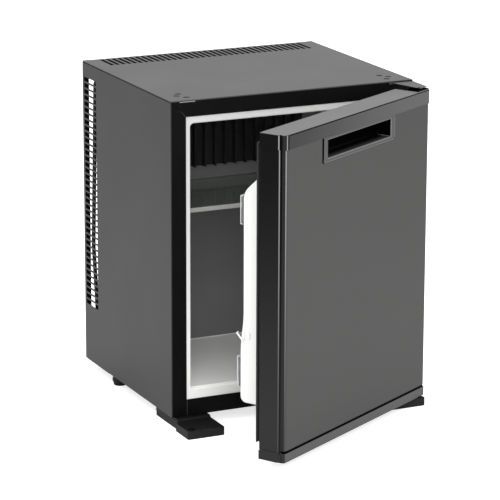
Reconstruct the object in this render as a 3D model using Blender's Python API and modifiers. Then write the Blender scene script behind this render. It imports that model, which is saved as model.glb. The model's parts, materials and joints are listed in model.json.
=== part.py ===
"""A small built-in refrigerator with a right-hand door, its absorption cooling unit and its fittings.

Units are metres, +Z is up and the door faces -Y. Every piece is placed in the cabinet's own frame:
x runs from the left side, y from the face of the front frame to the back, z from the cabinet's
bottom edge. The door stands open at DOOR_ANGLE, which is the rest pose.
"""
import bpy
import bmesh
from math import ceil, cos, pi, radians, sin, tan
from mathutils import Matrix, Vector

# Cabinet
WIDTH = 0.400
DEPTH = 0.344
HEIGHT = 0.4848
SHEET = 0.0010
GAP = 0.0003
SHADOW_GAP = 0.0009
ROLLED_EDGE = 0.0019
REAR_FLANGE = 0.0105
TOP_FLANGE_DROP = 0.0120
TOP_REAR_DROP = 0.0200
BASE_SHEET = 0.0012
TRAY_BEND = 0.0010
HEM_BEND = 0.0008

# Front frame
STILE_WIDTH = 0.0249
TOP_RAIL_HEIGHT = 0.0253
BOTTOM_RAIL_HEIGHT = 0.0257
FRAME_DEPTH = 0.022
FRAME_LIP = 0.0016
FRAME_REBATE = 0.0110

# Inner compartment
LINER_WALL = 0.0020
LINER_REVEAL = 0.0080
LINER_FLOOR_REVEAL = 0.0153
LINER_TOP_REVEAL = 0.0111
LINER_CORNER = 0.0045
LINER_TO_BACK = 0.1020
BODY_TO_BACK = 0.0640
LEDGE_REACH = 0.004
LEDGE_HEIGHT = 0.005
BACK_COVER = 0.0020

# Shelf
SHELF_BELOW_PLATE = 0.0205
SHELF_GLASS = 0.0040
SHELF_FRONT = 0.0600
SHELF_TRIM_HEIGHT = 0.0075
SHELF_TRIM_DEPTH = 0.0110
SHELF_SIDE_GAP = 0.0010

# Vents
SLOT_PITCH = 0.00976
SLOT_HEIGHT = 0.0070
SLOT_LENGTH = 0.0485
SLOT_BACK_MARGIN = 0.0070
SIDE_SLOTS = 38
SIDE_SLOT_DROP = 0.0242
TOP_SLOTS = 36
TOP_SLOT_WIDTH = 0.0058

# Door
DOOR_ANGLE = 30.84
HINGE_FROM_SIDE = 0.0080
HINGE_FROM_FRONT = 0.0142
DOOR_FRONT = 0.0555
DOOR_DEPTH = 0.0430
DOOR_TOP_DROP = 0.0056
DOOR_BOTTOM = -0.0020
TOP_BAND = 0.0218
BOTTOM_BAND = 0.0135
BAND_GAP = 0.0008
PANEL_SHEET = 0.0010
FREE_INSET = 0.0018
HINGE_INSET = 0.0025
SHOULDER = 0.0115
SHOULDER_CHAMFER = 0.0012
GROOVE_WIDTH = 0.0031
GROOVE_DEPTH = 0.0024
GROOVE_DRAFT = 0.0002
NOSE_SETBACK = 0.0016
NOSE_RADIUS = 0.0054
PROFILE_WALL = 0.0020
PROFILE_RETURN = 0.0100
CAP_WALL = 0.0040
CAP_BOSS = 0.0400

# Handle, moulded with the top cap
HANDLE_LEFT = 0.1010
HANDLE_FROM_RIGHT = 0.1040
HANDLE_DROP = 0.0587
HANDLE_RIM = 0.0110
HANDLE_SILL = 0.0062
HANDLE_DEPTH = 0.0300
HANDLE_WALL = 0.0040
HANDLE_LIP = 0.0100
HANDLE_CORNER = 0.0040
GRIP_DROP = 0.0262
GRIP_RISE = 0.0120
GRIP_BEND = 0.0060
GRIP_LIP_BEND = 0.0030

# Door lining and its balconies
GASKET_WIDTH = 0.0140
GASKET_MARGIN = 0.0100
GASKET_BOTTOM = 0.0187
GASKET_TOP_MARGIN = 0.0170
GASKET_CORNER = 0.0040
DYKE_LEFT = 0.0460
DYKE_WIDTH = 0.0120
DYKE_UPPER = 0.0460
DYKE_LOWER = 0.0510
DYKE_STEP = 0.1680
DYKE_DROP = 0.0822
DYKE_SLOPE = 0.0240
DYKE_BOTTOM = 0.0600
DYKE_FOOT_BEND = 0.0160
DYKE_STEP_BEND = 0.0020
DYKE_SHOULDER_BEND = 0.0120
DYKE_FLOOR = 0.0100
BALCONY_PROUD = 0.0062
BALCONY_WALL = 0.0025
BALCONY_HOOK = 0.0060
UPPER_GUARD_DROP = 0.0280
UPPER_GUARD_HEIGHT = 0.0430
LOWER_GUARD_START = 0.0810
LOWER_GUARD_HEIGHT = 0.0470
CLIP_HEIGHT = 0.0100
CLIP_REACH = 0.0110
CLIP_Z = 0.1580
CLIP_PLATE = 0.0019
CLIP_HOOK = 0.0042
CLIP_BARB = 0.0030

# Hinges
HINGE_PLATE = 0.0025
HINGE_TONGUE = 0.0022
HINGE_TONGUE_LENGTH = 0.0520
HINGE_TONGUE_WIDTH = 0.0250
HINGE_TONGUE_FROM_SIDE = 0.0150
HINGE_PLATE_INNER = 0.0340
HINGE_PLATE_NOSE = 0.0090
HINGE_NOSE_REACH = 0.0120
HINGE_NOSE_RAKE = 0.0020
HINGE_WEB = 0.0025
HINGE_WEB_STANDOFF = 0.0006
LOWER_PLATE = 0.0020
PIN_RADIUS = 0.0030
PIN_LENGTH = 0.0165
LOWER_PIN_LENGTH = 0.0115
PIN_COLLAR = 0.0055
PIN_COLLAR_HEIGHT = 0.0015
BUSH_WALL = 0.0012
BUSH_FLANGE = 0.0070
BUSH_FLANGE_HEIGHT = 0.0011
BUSH_LENGTH = 0.0090
HINGE_RECESS = 0.0080
HINGE_RECESS_WALL = 0.0030
SCREW_HEAD = 0.0026
SCREW_SHANK = 0.0015
SCREW_SINK = 0.0010
PLUG_WEB = 0.0006
HINGE_HOLES = ((0.0320, 0.0460), (0.0240, 0.0330), (0.0340, 0.0190))

# Feet
FOOT_HEIGHT = 0.0165
FOOT_WIDTH = 0.0600
FOOT_FRONT = 0.0610
FOOT_STEP = 0.0150
FOOT_INSET = 0.0045
FOOT_BACK = 0.0710
FOOT_DROP = 0.0035
FOOT_RISE_FRONT = 0.0095
FOOT_CORNER = 0.0030
FOOT_HOLE = 0.0025
FOOT_HOLE_FROM_SIDE = 0.0090
FOOT_HOLE_SETBACK = 0.0075
REAR_FOOT_TOP = 0.0120
REAR_FOOT_BOTTOM = 0.0100
REAR_FOOT_FROM_SIDE = 0.0140
REAR_FOOT_FROM_BACK = 0.1090
STUD_RADIUS = 0.0030
STUD_PLACE = 0.0270
STUD_ROW = (0.0350, 0.0600)
REAR_TRAY_DEPTH = 0.0940
REAR_TRAY_DROP = 0.0018
REAR_TRAY_LIP = 0.0250

# Cooling unit
UNIT_FROM_BACK = 0.0320
TUBE = 0.0060
COIL_TUBE = 0.0075
VENT_TUBE = 0.0035
VESSEL_RADIUS = 0.0240
VESSEL_HEIGHT = 0.0480
VESSEL_LEFT = 0.0700
VESSEL_TO_BOILER = 0.0350
VESSEL_END_BEVEL = 0.0040
BOILER_FROM_SIDE = 0.0750
JACKET_RADIUS = 0.0240
JACKET_BOTTOM = 0.1100
JACKET_DROP = 0.1030
CONDENSER_DROP = 0.0518
CONDENSER_LEFT = 0.0750
CONDENSER_FALL = 0.0480
CONDENSER_ENTRY = 0.1500
BEND = 0.0140
FIN_COUNT = 12
FIN_START = 0.1150
FINS_TO_BOILER = 0.0450
FIN_SIZE = 0.0440
FIN_THICKNESS = 0.0012
FIN_COLLAR = 0.0010
COIL_LEFT = 0.0900
COIL_TO_BOILER = 0.0850
COIL_BOTTOM = 0.1000
COIL_PASSES = 6
COIL_ENTRY_DROP = 0.0250
COIL_TOP_DROP = 0.0500
VENT_X = 0.0140
VENT_LEAN = 0.0060
VENT_FROM_BACK = 0.0190
VENT_DROP = 0.0288
VENT_BOTTOM = 0.1900
VENT_OFFSET = 0.0200
VENT_FOOT_RISE = 0.0200
VENT_FOOT_REACH = 0.0100
VENT_BEND = 0.0080
EVAPORATOR_MARGIN = 0.0371
EVAPORATOR_HEADROOM = 0.0104
EVAPORATOR_HEIGHT = 0.1130
EVAPORATOR_BASE = 0.0040
EVAPORATOR_FIN = 0.0120
EVAPORATOR_FINS = 14
EVAPORATOR_FIN_THICKNESS = 0.0020
HEATER_RADIUS = 0.0048
HEATER_OFFSET = 0.0135
HEATER_LENGTH = 0.0900
HEATER_PROUD = 0.0120
LEAD_RADIUS = 0.0020
LEAD_DROP = 0.0140
LEAD_BEND = 0.0050
BRACKET_WIDTH = 0.0300
BRACKET_HEIGHT = 0.0180
BRACKET_SHEET = 0.0020
CONTROL_BOX_FROM_SIDE = 0.0150
CONTROL_BOX_WIDTH = 0.0400
CONTROL_BOX_FROM_BACK = 0.0140
CONTROL_BOX_DEPTH = 0.0400
CONTROL_BOX_TOP = 0.0620
CONTROL_BOX_EDGE = 0.0015
INLET_SIZE = (0.0270, 0.0200, 0.0110)
INLET_WALL = 0.0022
INLET_CORNER = 0.0020
INLET_HEIGHT = 0.0340

# Light and thermostat, on the right-hand wall
CONTROL_DEPTH = 0.0200
CONTROL_FRONT = 0.0700
CONTROL_LENGTH = 0.0900
CONTROL_HEADROOM = 0.0204
CONTROL_HEIGHT = 0.0380
CONTROL_WALL = 0.0020
KNOB_RADIUS = 0.0110
KNOB_DEPTH = 0.0090
KNOB_FACE_RADIUS = 0.0101
KNOB_GRIP_PROUD = 0.0040
KNOB_GRIP_REACH = 0.0088
KNOB_FROM_FRONT = 0.0200
KNOB_SHAFT = 0.0030
KNOB_GRIP = 0.0022
LENS_LENGTH = 0.0400
LENS_HEIGHT = 0.0180
LENS_FROM_BACK = 0.0080

HINGE_X = WIDTH - HINGE_FROM_SIDE
HINGE_Y = -DOOR_FRONT + HINGE_FROM_FRONT
DOOR_BACK = -DOOR_FRONT + DOOR_DEPTH
LINER_BACK = DEPTH - LINER_TO_BACK
BODY_BACK = DEPTH - BODY_TO_BACK
UNIT_PLANE = DEPTH - UNIT_FROM_BACK
VENT_Y = DEPTH - VENT_FROM_BACK
REAR_TRAY_START = DEPTH - REAR_TRAY_DEPTH
REAR_FOOT_Y = DEPTH - REAR_FOOT_FROM_BACK
DOOR_TOP = HEIGHT - DOOR_TOP_DROP
HANDLE_RIGHT = WIDTH - HANDLE_FROM_RIGHT
HANDLE_BOTTOM = DOOR_TOP - HANDLE_DROP
GRIP_TOP = DOOR_TOP - GRIP_DROP
DYKE_TOP = DOOR_TOP - DYKE_DROP
UPPER_GUARD_TOP = DYKE_TOP - UPPER_GUARD_DROP
UPPER_GUARD = (UPPER_GUARD_TOP - UPPER_GUARD_HEIGHT, UPPER_GUARD_TOP)
LOWER_GUARD = (LOWER_GUARD_START, LOWER_GUARD_START + LOWER_GUARD_HEIGHT)
BOILER_X = WIDTH - BOILER_FROM_SIDE
VESSEL_RIGHT = BOILER_X - VESSEL_TO_BOILER
COIL_RIGHT = BOILER_X - COIL_TO_BOILER
CONDENSER_HEIGHT = HEIGHT - CONDENSER_DROP
CONDENSER_RETURN = CONDENSER_HEIGHT - CONDENSER_FALL
JACKET_TOP = CONDENSER_HEIGHT - JACKET_DROP
COIL_ENTRY_HEIGHT = CONDENSER_RETURN - COIL_ENTRY_DROP
REACH = 0.010
WELD = 0.000005

for leftover in list(bpy.data.objects):
    bpy.data.objects.remove(leftover, do_unlink=True)

parts = bpy.data.collections.new("built_in_refrigerator")
cutters = bpy.data.collections.new("cutters")
bpy.context.scene.collection.children.link(parts)
bpy.context.scene.collection.children.link(cutters)

FINISHES = {
    "graphite_paint": ((0.110, 0.110, 0.108), 0.42, 0.0),
    "black_plastic": ((0.012, 0.012, 0.013), 0.45, 0.0),
    "graphite_plastic": ((0.130, 0.130, 0.130), 0.40, 0.0),
    "white_plastic": ((0.820, 0.820, 0.800), 0.35, 0.0),
    "dark_grey_plastic": ((0.060, 0.060, 0.060), 0.50, 0.0),
    "grey_trim": ((0.450, 0.450, 0.420), 0.40, 0.0),
    "smoked_glass": ((0.110, 0.120, 0.110), 0.08, 0.0),
    "clear_plastic": ((0.750, 0.780, 0.780), 0.10, 0.0),
    "foam": ((0.750, 0.680, 0.450), 0.90, 0.0),
    "rubber": ((0.015, 0.015, 0.015), 0.75, 0.0),
    "zinc": ((0.560, 0.560, 0.550), 0.35, 1.0),
    "black_paint": ((0.015, 0.015, 0.015), 0.40, 0.0),
    "black_aluminium": ((0.030, 0.030, 0.032), 0.45, 0.6),
    "acetal": ((0.700, 0.700, 0.680), 0.40, 0.0),
}


def own_material(name, finish):
    """A material for one piece, in one of the finishes above."""
    colour, roughness, metallic = FINISHES[finish]
    material = bpy.data.materials.new(name + "_" + finish)
    material.use_nodes = True
    shader = material.node_tree.nodes["Principled BSDF"]
    shader.inputs["Base Color"].default_value = (*colour, 1.0)
    shader.inputs["Roughness"].default_value = roughness
    shader.inputs["Metallic"].default_value = metallic
    return material


def axis_empty(name, place, parent=None, turn=0.0):
    """An empty on a joint's axis, or at the cabinet's corner, that carries pieces."""
    empty = bpy.data.objects.new(name, None)
    parts.objects.link(empty)
    empty.parent = parent
    empty.location = Vector(place) - (seats[parent.name] if parent else Vector())
    empty.rotation_euler.z = turn
    seats[name] = Vector(place) if parent else Vector()
    return empty


def add_mesh(name, bm, carrier, place, finish=None, turn=(0.0, 0.0, 0.0)):
    """Makes an object of a bmesh around its own origin, at a place in the cabinet's frame."""
    mesh = bpy.data.meshes.new(name)
    bm.to_mesh(mesh)
    bm.free()
    obj = bpy.data.objects.new(name, mesh)
    obj.parent = carrier
    obj.location = Vector(place) - seats[carrier.name]
    obj.rotation_euler = turn
    if finish is None:
        cutters.objects.link(obj)
        obj.hide_render = True
        obj.display_type = "WIRE"
    else:
        parts.objects.link(obj)
        mesh.materials.append(own_material(name, finish))
    return obj


def block(name, low, high, carrier, finish=None):
    """A rectangular block between two corners."""
    low, high = Vector(low), Vector(high)
    bm = bmesh.new()
    bmesh.ops.create_cube(bm, size=1.0)
    bmesh.ops.scale(bm, vec=high - low, verts=bm.verts)
    return add_mesh(name, bm, carrier, (low + high) / 2, finish)


TURNS = {"x": (0.0, pi / 2, 0.0), "y": (-pi / 2, 0.0, 0.0), "z": (0.0, 0.0, 0.0)}


def rod(name, start, length, radius, axis, carrier, finish=None, end_radius=None, segments=24):
    """A round bar or cone from its start along +x, +y or +z."""
    bm = bmesh.new()
    bmesh.ops.create_cone(
        bm,
        cap_ends=True,
        segments=segments,
        radius1=radius,
        radius2=radius if end_radius is None else end_radius,
        depth=length,
    )
    bmesh.ops.translate(bm, vec=(0.0, 0.0, length / 2), verts=bm.verts)
    obj = add_mesh(name, bm, carrier, start, finish, TURNS[axis])
    obj.data.shade_smooth()
    obj.data.set_sharp_from_angle(angle=radians(35))
    return obj


def rounded(corners, steps=4):
    """A closed outline from (x, y, radius) corners, each radius drawn as an arc."""
    points = []
    count = len(corners)
    for index, (x, y, radius) in enumerate(corners):
        corner = Vector((x, y))
        if radius == 0.0:
            points.append(corner)
            continue
        before = (Vector(corners[index - 1][:2]) - corner).normalized()
        after = (Vector(corners[(index + 1) % count][:2]) - corner).normalized()
        half = before.angle(after) / 2
        centre = corner + (before + after).normalized() * (radius / sin(half))
        first = corner + before * (radius / tan(half)) - centre
        last = corner + after * (radius / tan(half)) - centre
        sweep = first.angle_signed(last)
        for step in range(steps + 1):
            points.append(centre + Matrix.Rotation(-sweep * step / steps, 2) @ first)
    return points


def rectangle(x0, y0, x1, y1, radius=0.0, steps=4):
    return rounded([(x0, y0, radius), (x1, y0, radius), (x1, y1, radius), (x0, y1, radius)], steps)


PLANES = {"xy": (0.0, 0.0, 0.0), "xz": (pi / 2, 0.0, 0.0), "yz": (pi / 2, 0.0, pi / 2)}
NORMALS = {"xy": Vector((0, 0, 1)), "xz": Vector((0, 1, 0)), "yz": Vector((1, 0, 0))}


def slab(name, outlines, low, high, carrier, finish=None, plane="xy"):
    """A flat outline with its holes, given thickness from low to high along the plane's normal."""
    curve = bpy.data.curves.new(name, "CURVE")
    curve.dimensions = "2D"
    curve.fill_mode = "BOTH"
    curve.extrude = (high - low) / 2
    for outline in outlines:
        spline = curve.splines.new("POLY")
        spline.points.add(len(outline) - 1)
        for point, (x, y) in zip(spline.points, outline):
            point.co = (x, y, 0.0, 1.0)
        spline.use_cyclic_u = True
    drawn = bpy.data.objects.new(name + "_outline", curve)
    obj = mesh_of(drawn, name, carrier, NORMALS[plane] * (low + high) / 2, finish)
    obj.rotation_euler = PLANES[plane]
    return obj


def tube(name, route, radius, carrier, finish=None, sides=2):
    """A round tube along a route of points, with closed ends."""
    curve = bpy.data.curves.new(name, "CURVE")
    curve.dimensions = "3D"
    curve.bevel_depth = radius
    curve.bevel_resolution = sides
    curve.use_fill_caps = True
    spline = curve.splines.new("POLY")
    spline.points.add(len(route) - 1)
    for point, place in zip(spline.points, route):
        point.co = (*place, 1.0)
    drawn = bpy.data.objects.new(name + "_route", curve)
    obj = mesh_of(drawn, name, carrier, Vector(), finish)
    obj.data.shade_smooth()
    obj.data.set_sharp_from_angle(angle=radians(35))
    return obj


def mesh_of(drawn, name, carrier, place, finish):
    """Turns a curve object into a mesh object whose caps and sides are welded."""
    bpy.context.scene.collection.objects.link(drawn)
    graph = bpy.context.evaluated_depsgraph_get()
    mesh = bpy.data.meshes.new_from_object(drawn.evaluated_get(graph))
    bm = bmesh.new()
    bm.from_mesh(mesh)
    bmesh.ops.remove_doubles(bm, verts=bm.verts, dist=WELD)
    bmesh.ops.recalc_face_normals(bm, faces=bm.faces)
    bpy.data.meshes.remove(mesh)
    bpy.data.objects.remove(drawn, do_unlink=True)
    return add_mesh(name, bm, carrier, place, finish)


def turned(name, profile, place, carrier, finish=None, segments=24, ring=False):
    """A round piece from (radius, height) points that run down its outer side."""
    bm = bmesh.new()
    verts = [bm.verts.new((radius, 0.0, height)) for radius, height in profile]
    for start, end in zip(verts, verts[1:]):
        bm.edges.new((start, end))
    if ring:
        bm.edges.new((verts[-1], verts[0]))
    obj = add_mesh(name, bm, carrier, place, finish)
    screw = obj.modifiers.new("Turned", "SCREW")
    screw.steps = segments
    screw.render_steps = segments
    screw.use_merge_vertices = True
    screw.merge_threshold = WELD
    screw.use_smooth_shade = True
    return obj


def boolean(target, other, operation):
    modifier = target.modifiers.new(operation.title() + "_" + other.name, "BOOLEAN")
    modifier.operation = operation
    modifier.solver = "EXACT"
    modifier.object = other


def cut(target, *tools):
    for tool in tools:
        boolean(target, tool, "DIFFERENCE")


def join(target, *pieces):
    for piece in pieces:
        boolean(target, piece, "UNION")


def round_edges(obj, width, segments=2, angle=40):
    bevel = obj.modifiers.new("Rounded edges", "BEVEL")
    bevel.width = width
    bevel.segments = segments
    bevel.limit_method = "ANGLE"
    bevel.angle_limit = radians(angle)


def bent(corners, radius, step_angle=15):
    """A route through the corners in which every corner is a bend of one radius."""
    corners = [Vector(corner) for corner in corners]
    route = [corners[0]]
    for before, corner, after in zip(corners, corners[1:], corners[2:]):
        back = (before - corner).normalized()
        on = (after - corner).normalized()
        turn = pi - back.angle(on)
        reach = radius * tan(turn / 2)
        centre = corner + (back + on).normalized() * (radius / cos(turn / 2))
        first = corner + back * reach - centre
        axis = first.cross(corner + on * reach - centre).normalized()
        steps = max(2, ceil(turn / radians(step_angle)))
        for step in range(steps + 1):
            route.append(centre + Matrix.Rotation(turn * step / steps, 3, axis) @ first)
    return route + [corners[-1]]


# The open door reaches past the cabinet, so the origin goes under the middle of the whole.
open_turn = radians(DOOR_ANGLE)
nose = NOSE_SETBACK + NOSE_RADIUS
front_arm = Vector((nose - HINGE_X, NOSE_RADIUS - DOOR_FRONT - HINGE_Y))
front_reach = HINGE_Y + sin(open_turn) * front_arm.x + cos(open_turn) * front_arm.y - NOSE_RADIUS
side_arm = Vector((WIDTH - nose - HINGE_X, NOSE_RADIUS - DOOR_FRONT - HINGE_Y))
right_reach = HINGE_X + cos(open_turn) * side_arm.x - sin(open_turn) * side_arm.y + NOSE_RADIUS
middle_x = right_reach / 2
middle_y = (front_reach + DEPTH) / 2

seats = {}
cabinet = axis_empty("cabinet_corner", (-middle_x, -middle_y, FOOT_HEIGHT))
door = axis_empty("door_hinge_axis", (HINGE_X, HINGE_Y, 0.0), cabinet, open_turn)


def through(low, high):
    """A cutter's ends run past both faces."""
    return low - REACH, high + REACH


def mirrored(outline):
    return [(WIDTH - x, y) for x, y in outline]


# Side panels: one folded sheet each, with a hemmed front edge, a rear flange and cooling slots.
side_top = HEIGHT - SHEET - SHADOW_GAP
side_section = rounded([
    (0.0, 0.0, HEM_BEND),
    (ROLLED_EDGE, 0.0, HEM_BEND),
    (ROLLED_EDGE, FRAME_DEPTH / 2, 0.0),
    (SHEET, FRAME_DEPTH / 2, 0.0),
    (SHEET, DEPTH - SHEET, 0.0),
    (REAR_FLANGE, DEPTH - SHEET, 0.0),
    (REAR_FLANGE, DEPTH, 0.0),
    (0.0, DEPTH, 0.0),
], 2)
slot_back = DEPTH - SLOT_BACK_MARGIN
slot_front = slot_back - SLOT_LENGTH
side_slots = [
    rectangle(slot_front, top - SLOT_HEIGHT, slot_back, top)
    for top in (HEIGHT - SIDE_SLOT_DROP - SLOT_PITCH * row for row in range(SIDE_SLOTS))
]
for hand, section, wall in (
    ("left", side_section, (0.0, SHEET)),
    ("right", mirrored(side_section), (WIDTH - SHEET, WIDTH)),
):
    panel = slab("side_panel_" + hand, [section], 0.0, side_top, cabinet, "graphite_paint")
    cut(panel, slab("side_slots_" + hand, side_slots, *through(*wall), cabinet, plane="yz"))

# Top panel: its front edge is rolled down, its sides and back drop inside the side panels.
flange_x = SHEET + GAP
top_panel = block(
    "top_panel", (0.0, 0.0, HEIGHT - SHEET), (WIDTH, DEPTH, HEIGHT), cabinet, "graphite_paint"
)
fold = SHEET / 2
join(
    top_panel,
    block(
        "top_front_roll",
        (0.0, 0.0, HEIGHT - ROLLED_EDGE + GAP),
        (WIDTH, ROLLED_EDGE, HEIGHT - fold),
        cabinet,
    ),
)
for hand, flange in (
    ("left", (flange_x, flange_x + SHEET)),
    ("right", (WIDTH - flange_x - SHEET, WIDTH - flange_x)),
):
    join(
        top_panel,
        block(
            "top_flange_" + hand,
            (flange[0], FRAME_DEPTH + GAP, HEIGHT - TOP_FLANGE_DROP),
            (flange[1], BODY_BACK, HEIGHT - fold),
            cabinet,
        ),
    )
join(
    top_panel,
    block(
        "top_flange_rear",
        (REAR_FLANGE + GAP, DEPTH - SHEET, HEIGHT - TOP_REAR_DROP),
        (WIDTH - REAR_FLANGE - GAP, DEPTH, HEIGHT - fold),
        cabinet,
    ),
)
top_slot_start = (WIDTH - (TOP_SLOTS - 1) * SLOT_PITCH - TOP_SLOT_WIDTH) / 2
top_slots = [
    rectangle(left, slot_front, left + TOP_SLOT_WIDTH, slot_back)
    for left in (top_slot_start + SLOT_PITCH * column for column in range(TOP_SLOTS))
]
cut(top_panel, slab("top_slots", top_slots, *through(HEIGHT - SHEET, HEIGHT), cabinet))
right_holes = [(WIDTH - x, y) for x, y in HINGE_HOLES]
for number, (x, y) in enumerate([*HINGE_HOLES, *right_holes], 1):
    hole = "hinge_hole_%d" % number
    low = HEIGHT - REACH
    cut(top_panel, rod(hole, (x, y, low), 2 * REACH, SCREW_HEAD + GAP, "z", cabinet, segments=12))

# Base pan between the frame and the rear tray, and the tray that the cooling unit stands on.
inner_left = SHEET + GAP
inner_right = WIDTH - inner_left
base_pan = block(
    "base_pan",
    (inner_left, FRAME_DEPTH + GAP, 0.0),
    (inner_right, REAR_TRAY_START - GAP, BASE_SHEET),
    cabinet,
    "graphite_paint",
)
tray = rounded([
    (REAR_TRAY_START, -REAR_TRAY_DROP, 0.0),
    (DEPTH - SHEET - GAP, -REAR_TRAY_DROP, TRAY_BEND),
    (DEPTH - SHEET - GAP, REAR_TRAY_LIP, 0.0),
    (DEPTH - 2 * SHEET - GAP, REAR_TRAY_LIP, 0.0),
    (DEPTH - 2 * SHEET - GAP, BASE_SHEET, 0.0),
    (REAR_TRAY_START, BASE_SHEET, 0.0),
], 2)
slab("rear_base_tray", [tray], inner_left, inner_right, cabinet, "black_paint", "yz")

# Front frame: mitred at the top corners, butted at the bottom ones, rebated for the lining.
frame_top = HEIGHT - ROLLED_EDGE
frame_left = ROLLED_EDGE + GAP
top_rail_bottom = HEIGHT - TOP_RAIL_HEIGHT
stile = [
    (frame_left, 0.0),
    (STILE_WIDTH, 0.0),
    (STILE_WIDTH, top_rail_bottom - GAP),
    (frame_left, frame_top - GAP),
]
rebate_cutter = slab(
    "frame_rebate",
    [rectangle(
        STILE_WIDTH - FRAME_REBATE,
        BOTTOM_RAIL_HEIGHT - FRAME_REBATE,
        WIDTH - STILE_WIDTH + FRAME_REBATE,
        top_rail_bottom + FRAME_REBATE,
    )],
    FRAME_LIP,
    FRAME_DEPTH + REACH,
    cabinet,
    plane="xz",
)
frame_pieces = {
    "frame_stile_left": stile,
    "frame_stile_right": mirrored(stile),
    "frame_rail_top": [
        (STILE_WIDTH + GAP, top_rail_bottom),
        (WIDTH - STILE_WIDTH - GAP, top_rail_bottom),
        (WIDTH - frame_left - GAP, frame_top),
        (frame_left + GAP, frame_top),
    ],
    "frame_rail_bottom": rectangle(
        STILE_WIDTH + GAP, 0.0, WIDTH - STILE_WIDTH - GAP, BOTTOM_RAIL_HEIGHT
    ),
}
tongue_left = WIDTH - HINGE_TONGUE_FROM_SIDE - HINGE_TONGUE_WIDTH
tongue_right = WIDTH - HINGE_TONGUE_FROM_SIDE
tongue_top = HEIGHT - ROLLED_EDGE - GAP
tongue_bottom = tongue_top - HINGE_TONGUE
frame_notches = [
    block(
        "hinge_notch_" + hand,
        (low - GAP, -REACH, tongue_bottom - GAP),
        (high + GAP, FRAME_DEPTH + REACH, HEIGHT),
        cabinet,
    )
    for hand, low, high in (
        ("right", tongue_left, tongue_right),
        ("left", WIDTH - tongue_right, WIDTH - tongue_left),
    )
]
for name, outline in frame_pieces.items():
    member = slab(name, [outline], 0.0, FRAME_DEPTH, cabinet, "black_plastic", "xz")
    cut(member, rebate_cutter)
    if name == "frame_rail_top":
        cut(member, *frame_notches)
    elif name.startswith("frame_stile"):
        cut(member, frame_notches[0] if name.endswith("right") else frame_notches[1])

# Lining: an open box with a rolled mouth, a flange behind the frame and two ledges for the shelf.
mouth_left = STILE_WIDTH + LINER_REVEAL
mouth_right = WIDTH - mouth_left
mouth_bottom = BOTTOM_RAIL_HEIGHT + LINER_FLOOR_REVEAL
mouth_top = top_rail_bottom - LINER_TOP_REVEAL
flange_front = FRAME_LIP + GAP


def mouth(grow, radius):
    """The compartment's outline seen from the front, grown by a wall or a clearance."""
    return rectangle(
        mouth_left - grow, mouth_bottom - grow, mouth_right + grow, mouth_top + grow, radius
    )


flange_edge = FRAME_REBATE - GAP
liner = slab(
    "inner_liner",
    [rectangle(
        STILE_WIDTH - flange_edge,
        BOTTOM_RAIL_HEIGHT - flange_edge,
        WIDTH - STILE_WIDTH + flange_edge,
        top_rail_bottom + flange_edge,
    )],
    flange_front,
    flange_front + LINER_WALL,
    cabinet,
    "white_plastic",
    "xz",
)
join(
    liner,
    slab(
        "liner_shell",
        [mouth(LINER_WALL, LINER_CORNER + LINER_WALL)],
        flange_front + LINER_WALL / 2,
        LINER_BACK,
        cabinet,
        plane="xz",
    ),
)
liner_inside = slab(
    "liner_inside",
    [mouth(0.0, LINER_CORNER)],
    flange_front - REACH,
    LINER_BACK - LINER_WALL,
    cabinet,
    plane="xz",
)
cut(liner, liner_inside)
evaporator_top = mouth_top - EVAPORATOR_HEADROOM
evaporator_bottom = evaporator_top - EVAPORATOR_HEIGHT
shelf_top = evaporator_bottom - SHELF_BELOW_PLATE
ledge_top = shelf_top - SHELF_GLASS - GAP
shelf_back = LINER_BACK - LINER_WALL - BACK_COVER - 2 * GAP
for hand, low, high in (
    ("left", mouth_left - LINER_WALL / 2, mouth_left + LEDGE_REACH),
    ("right", mouth_right - LEDGE_REACH, mouth_right + LINER_WALL / 2),
):
    join(
        liner,
        block(
            "shelf_ledge_" + hand,
            (low, SHELF_FRONT + SHELF_TRIM_DEPTH + GAP, ledge_top - LEDGE_HEIGHT),
            (high, shelf_back - SHELF_TRIM_DEPTH - GAP, ledge_top),
            cabinet,
        ),
    )

# Dark cover over the compartment's back wall, and the finned cooling plate in front of it.
cover_back = LINER_BACK - LINER_WALL - GAP
cover_front = cover_back - BACK_COVER
back_cover = slab(
    "compartment_back_cover",
    [rectangle(
        mouth_left + GAP, mouth_bottom + GAP, mouth_right - GAP, mouth_top - GAP, LINER_CORNER
    )],
    cover_front,
    cover_back,
    cabinet,
    "dark_grey_plastic",
    "xz",
)
plate_back = cover_front - GAP
plate_front = plate_back - EVAPORATOR_BASE
evaporator_left = mouth_left + EVAPORATOR_MARGIN
evaporator_right = mouth_right - EVAPORATOR_MARGIN
comb = [(evaporator_left, plate_back), (evaporator_left, plate_front)]
fin_pitch = (evaporator_right - evaporator_left) / (EVAPORATOR_FINS + 1)
for fin in range(1, EVAPORATOR_FINS + 1):
    fin_left = evaporator_left + fin * fin_pitch - EVAPORATOR_FIN_THICKNESS / 2
    fin_right = fin_left + EVAPORATOR_FIN_THICKNESS
    fin_tip = plate_front - EVAPORATOR_FIN
    comb += [(fin_left, plate_front), (fin_left, fin_tip), (fin_right, fin_tip),
             (fin_right, plate_front)]
comb += [(evaporator_right, plate_front), (evaporator_right, plate_back)]
slab(
    "evaporator_plate", [comb], evaporator_bottom, evaporator_top, cabinet, "black_aluminium"
)

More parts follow.
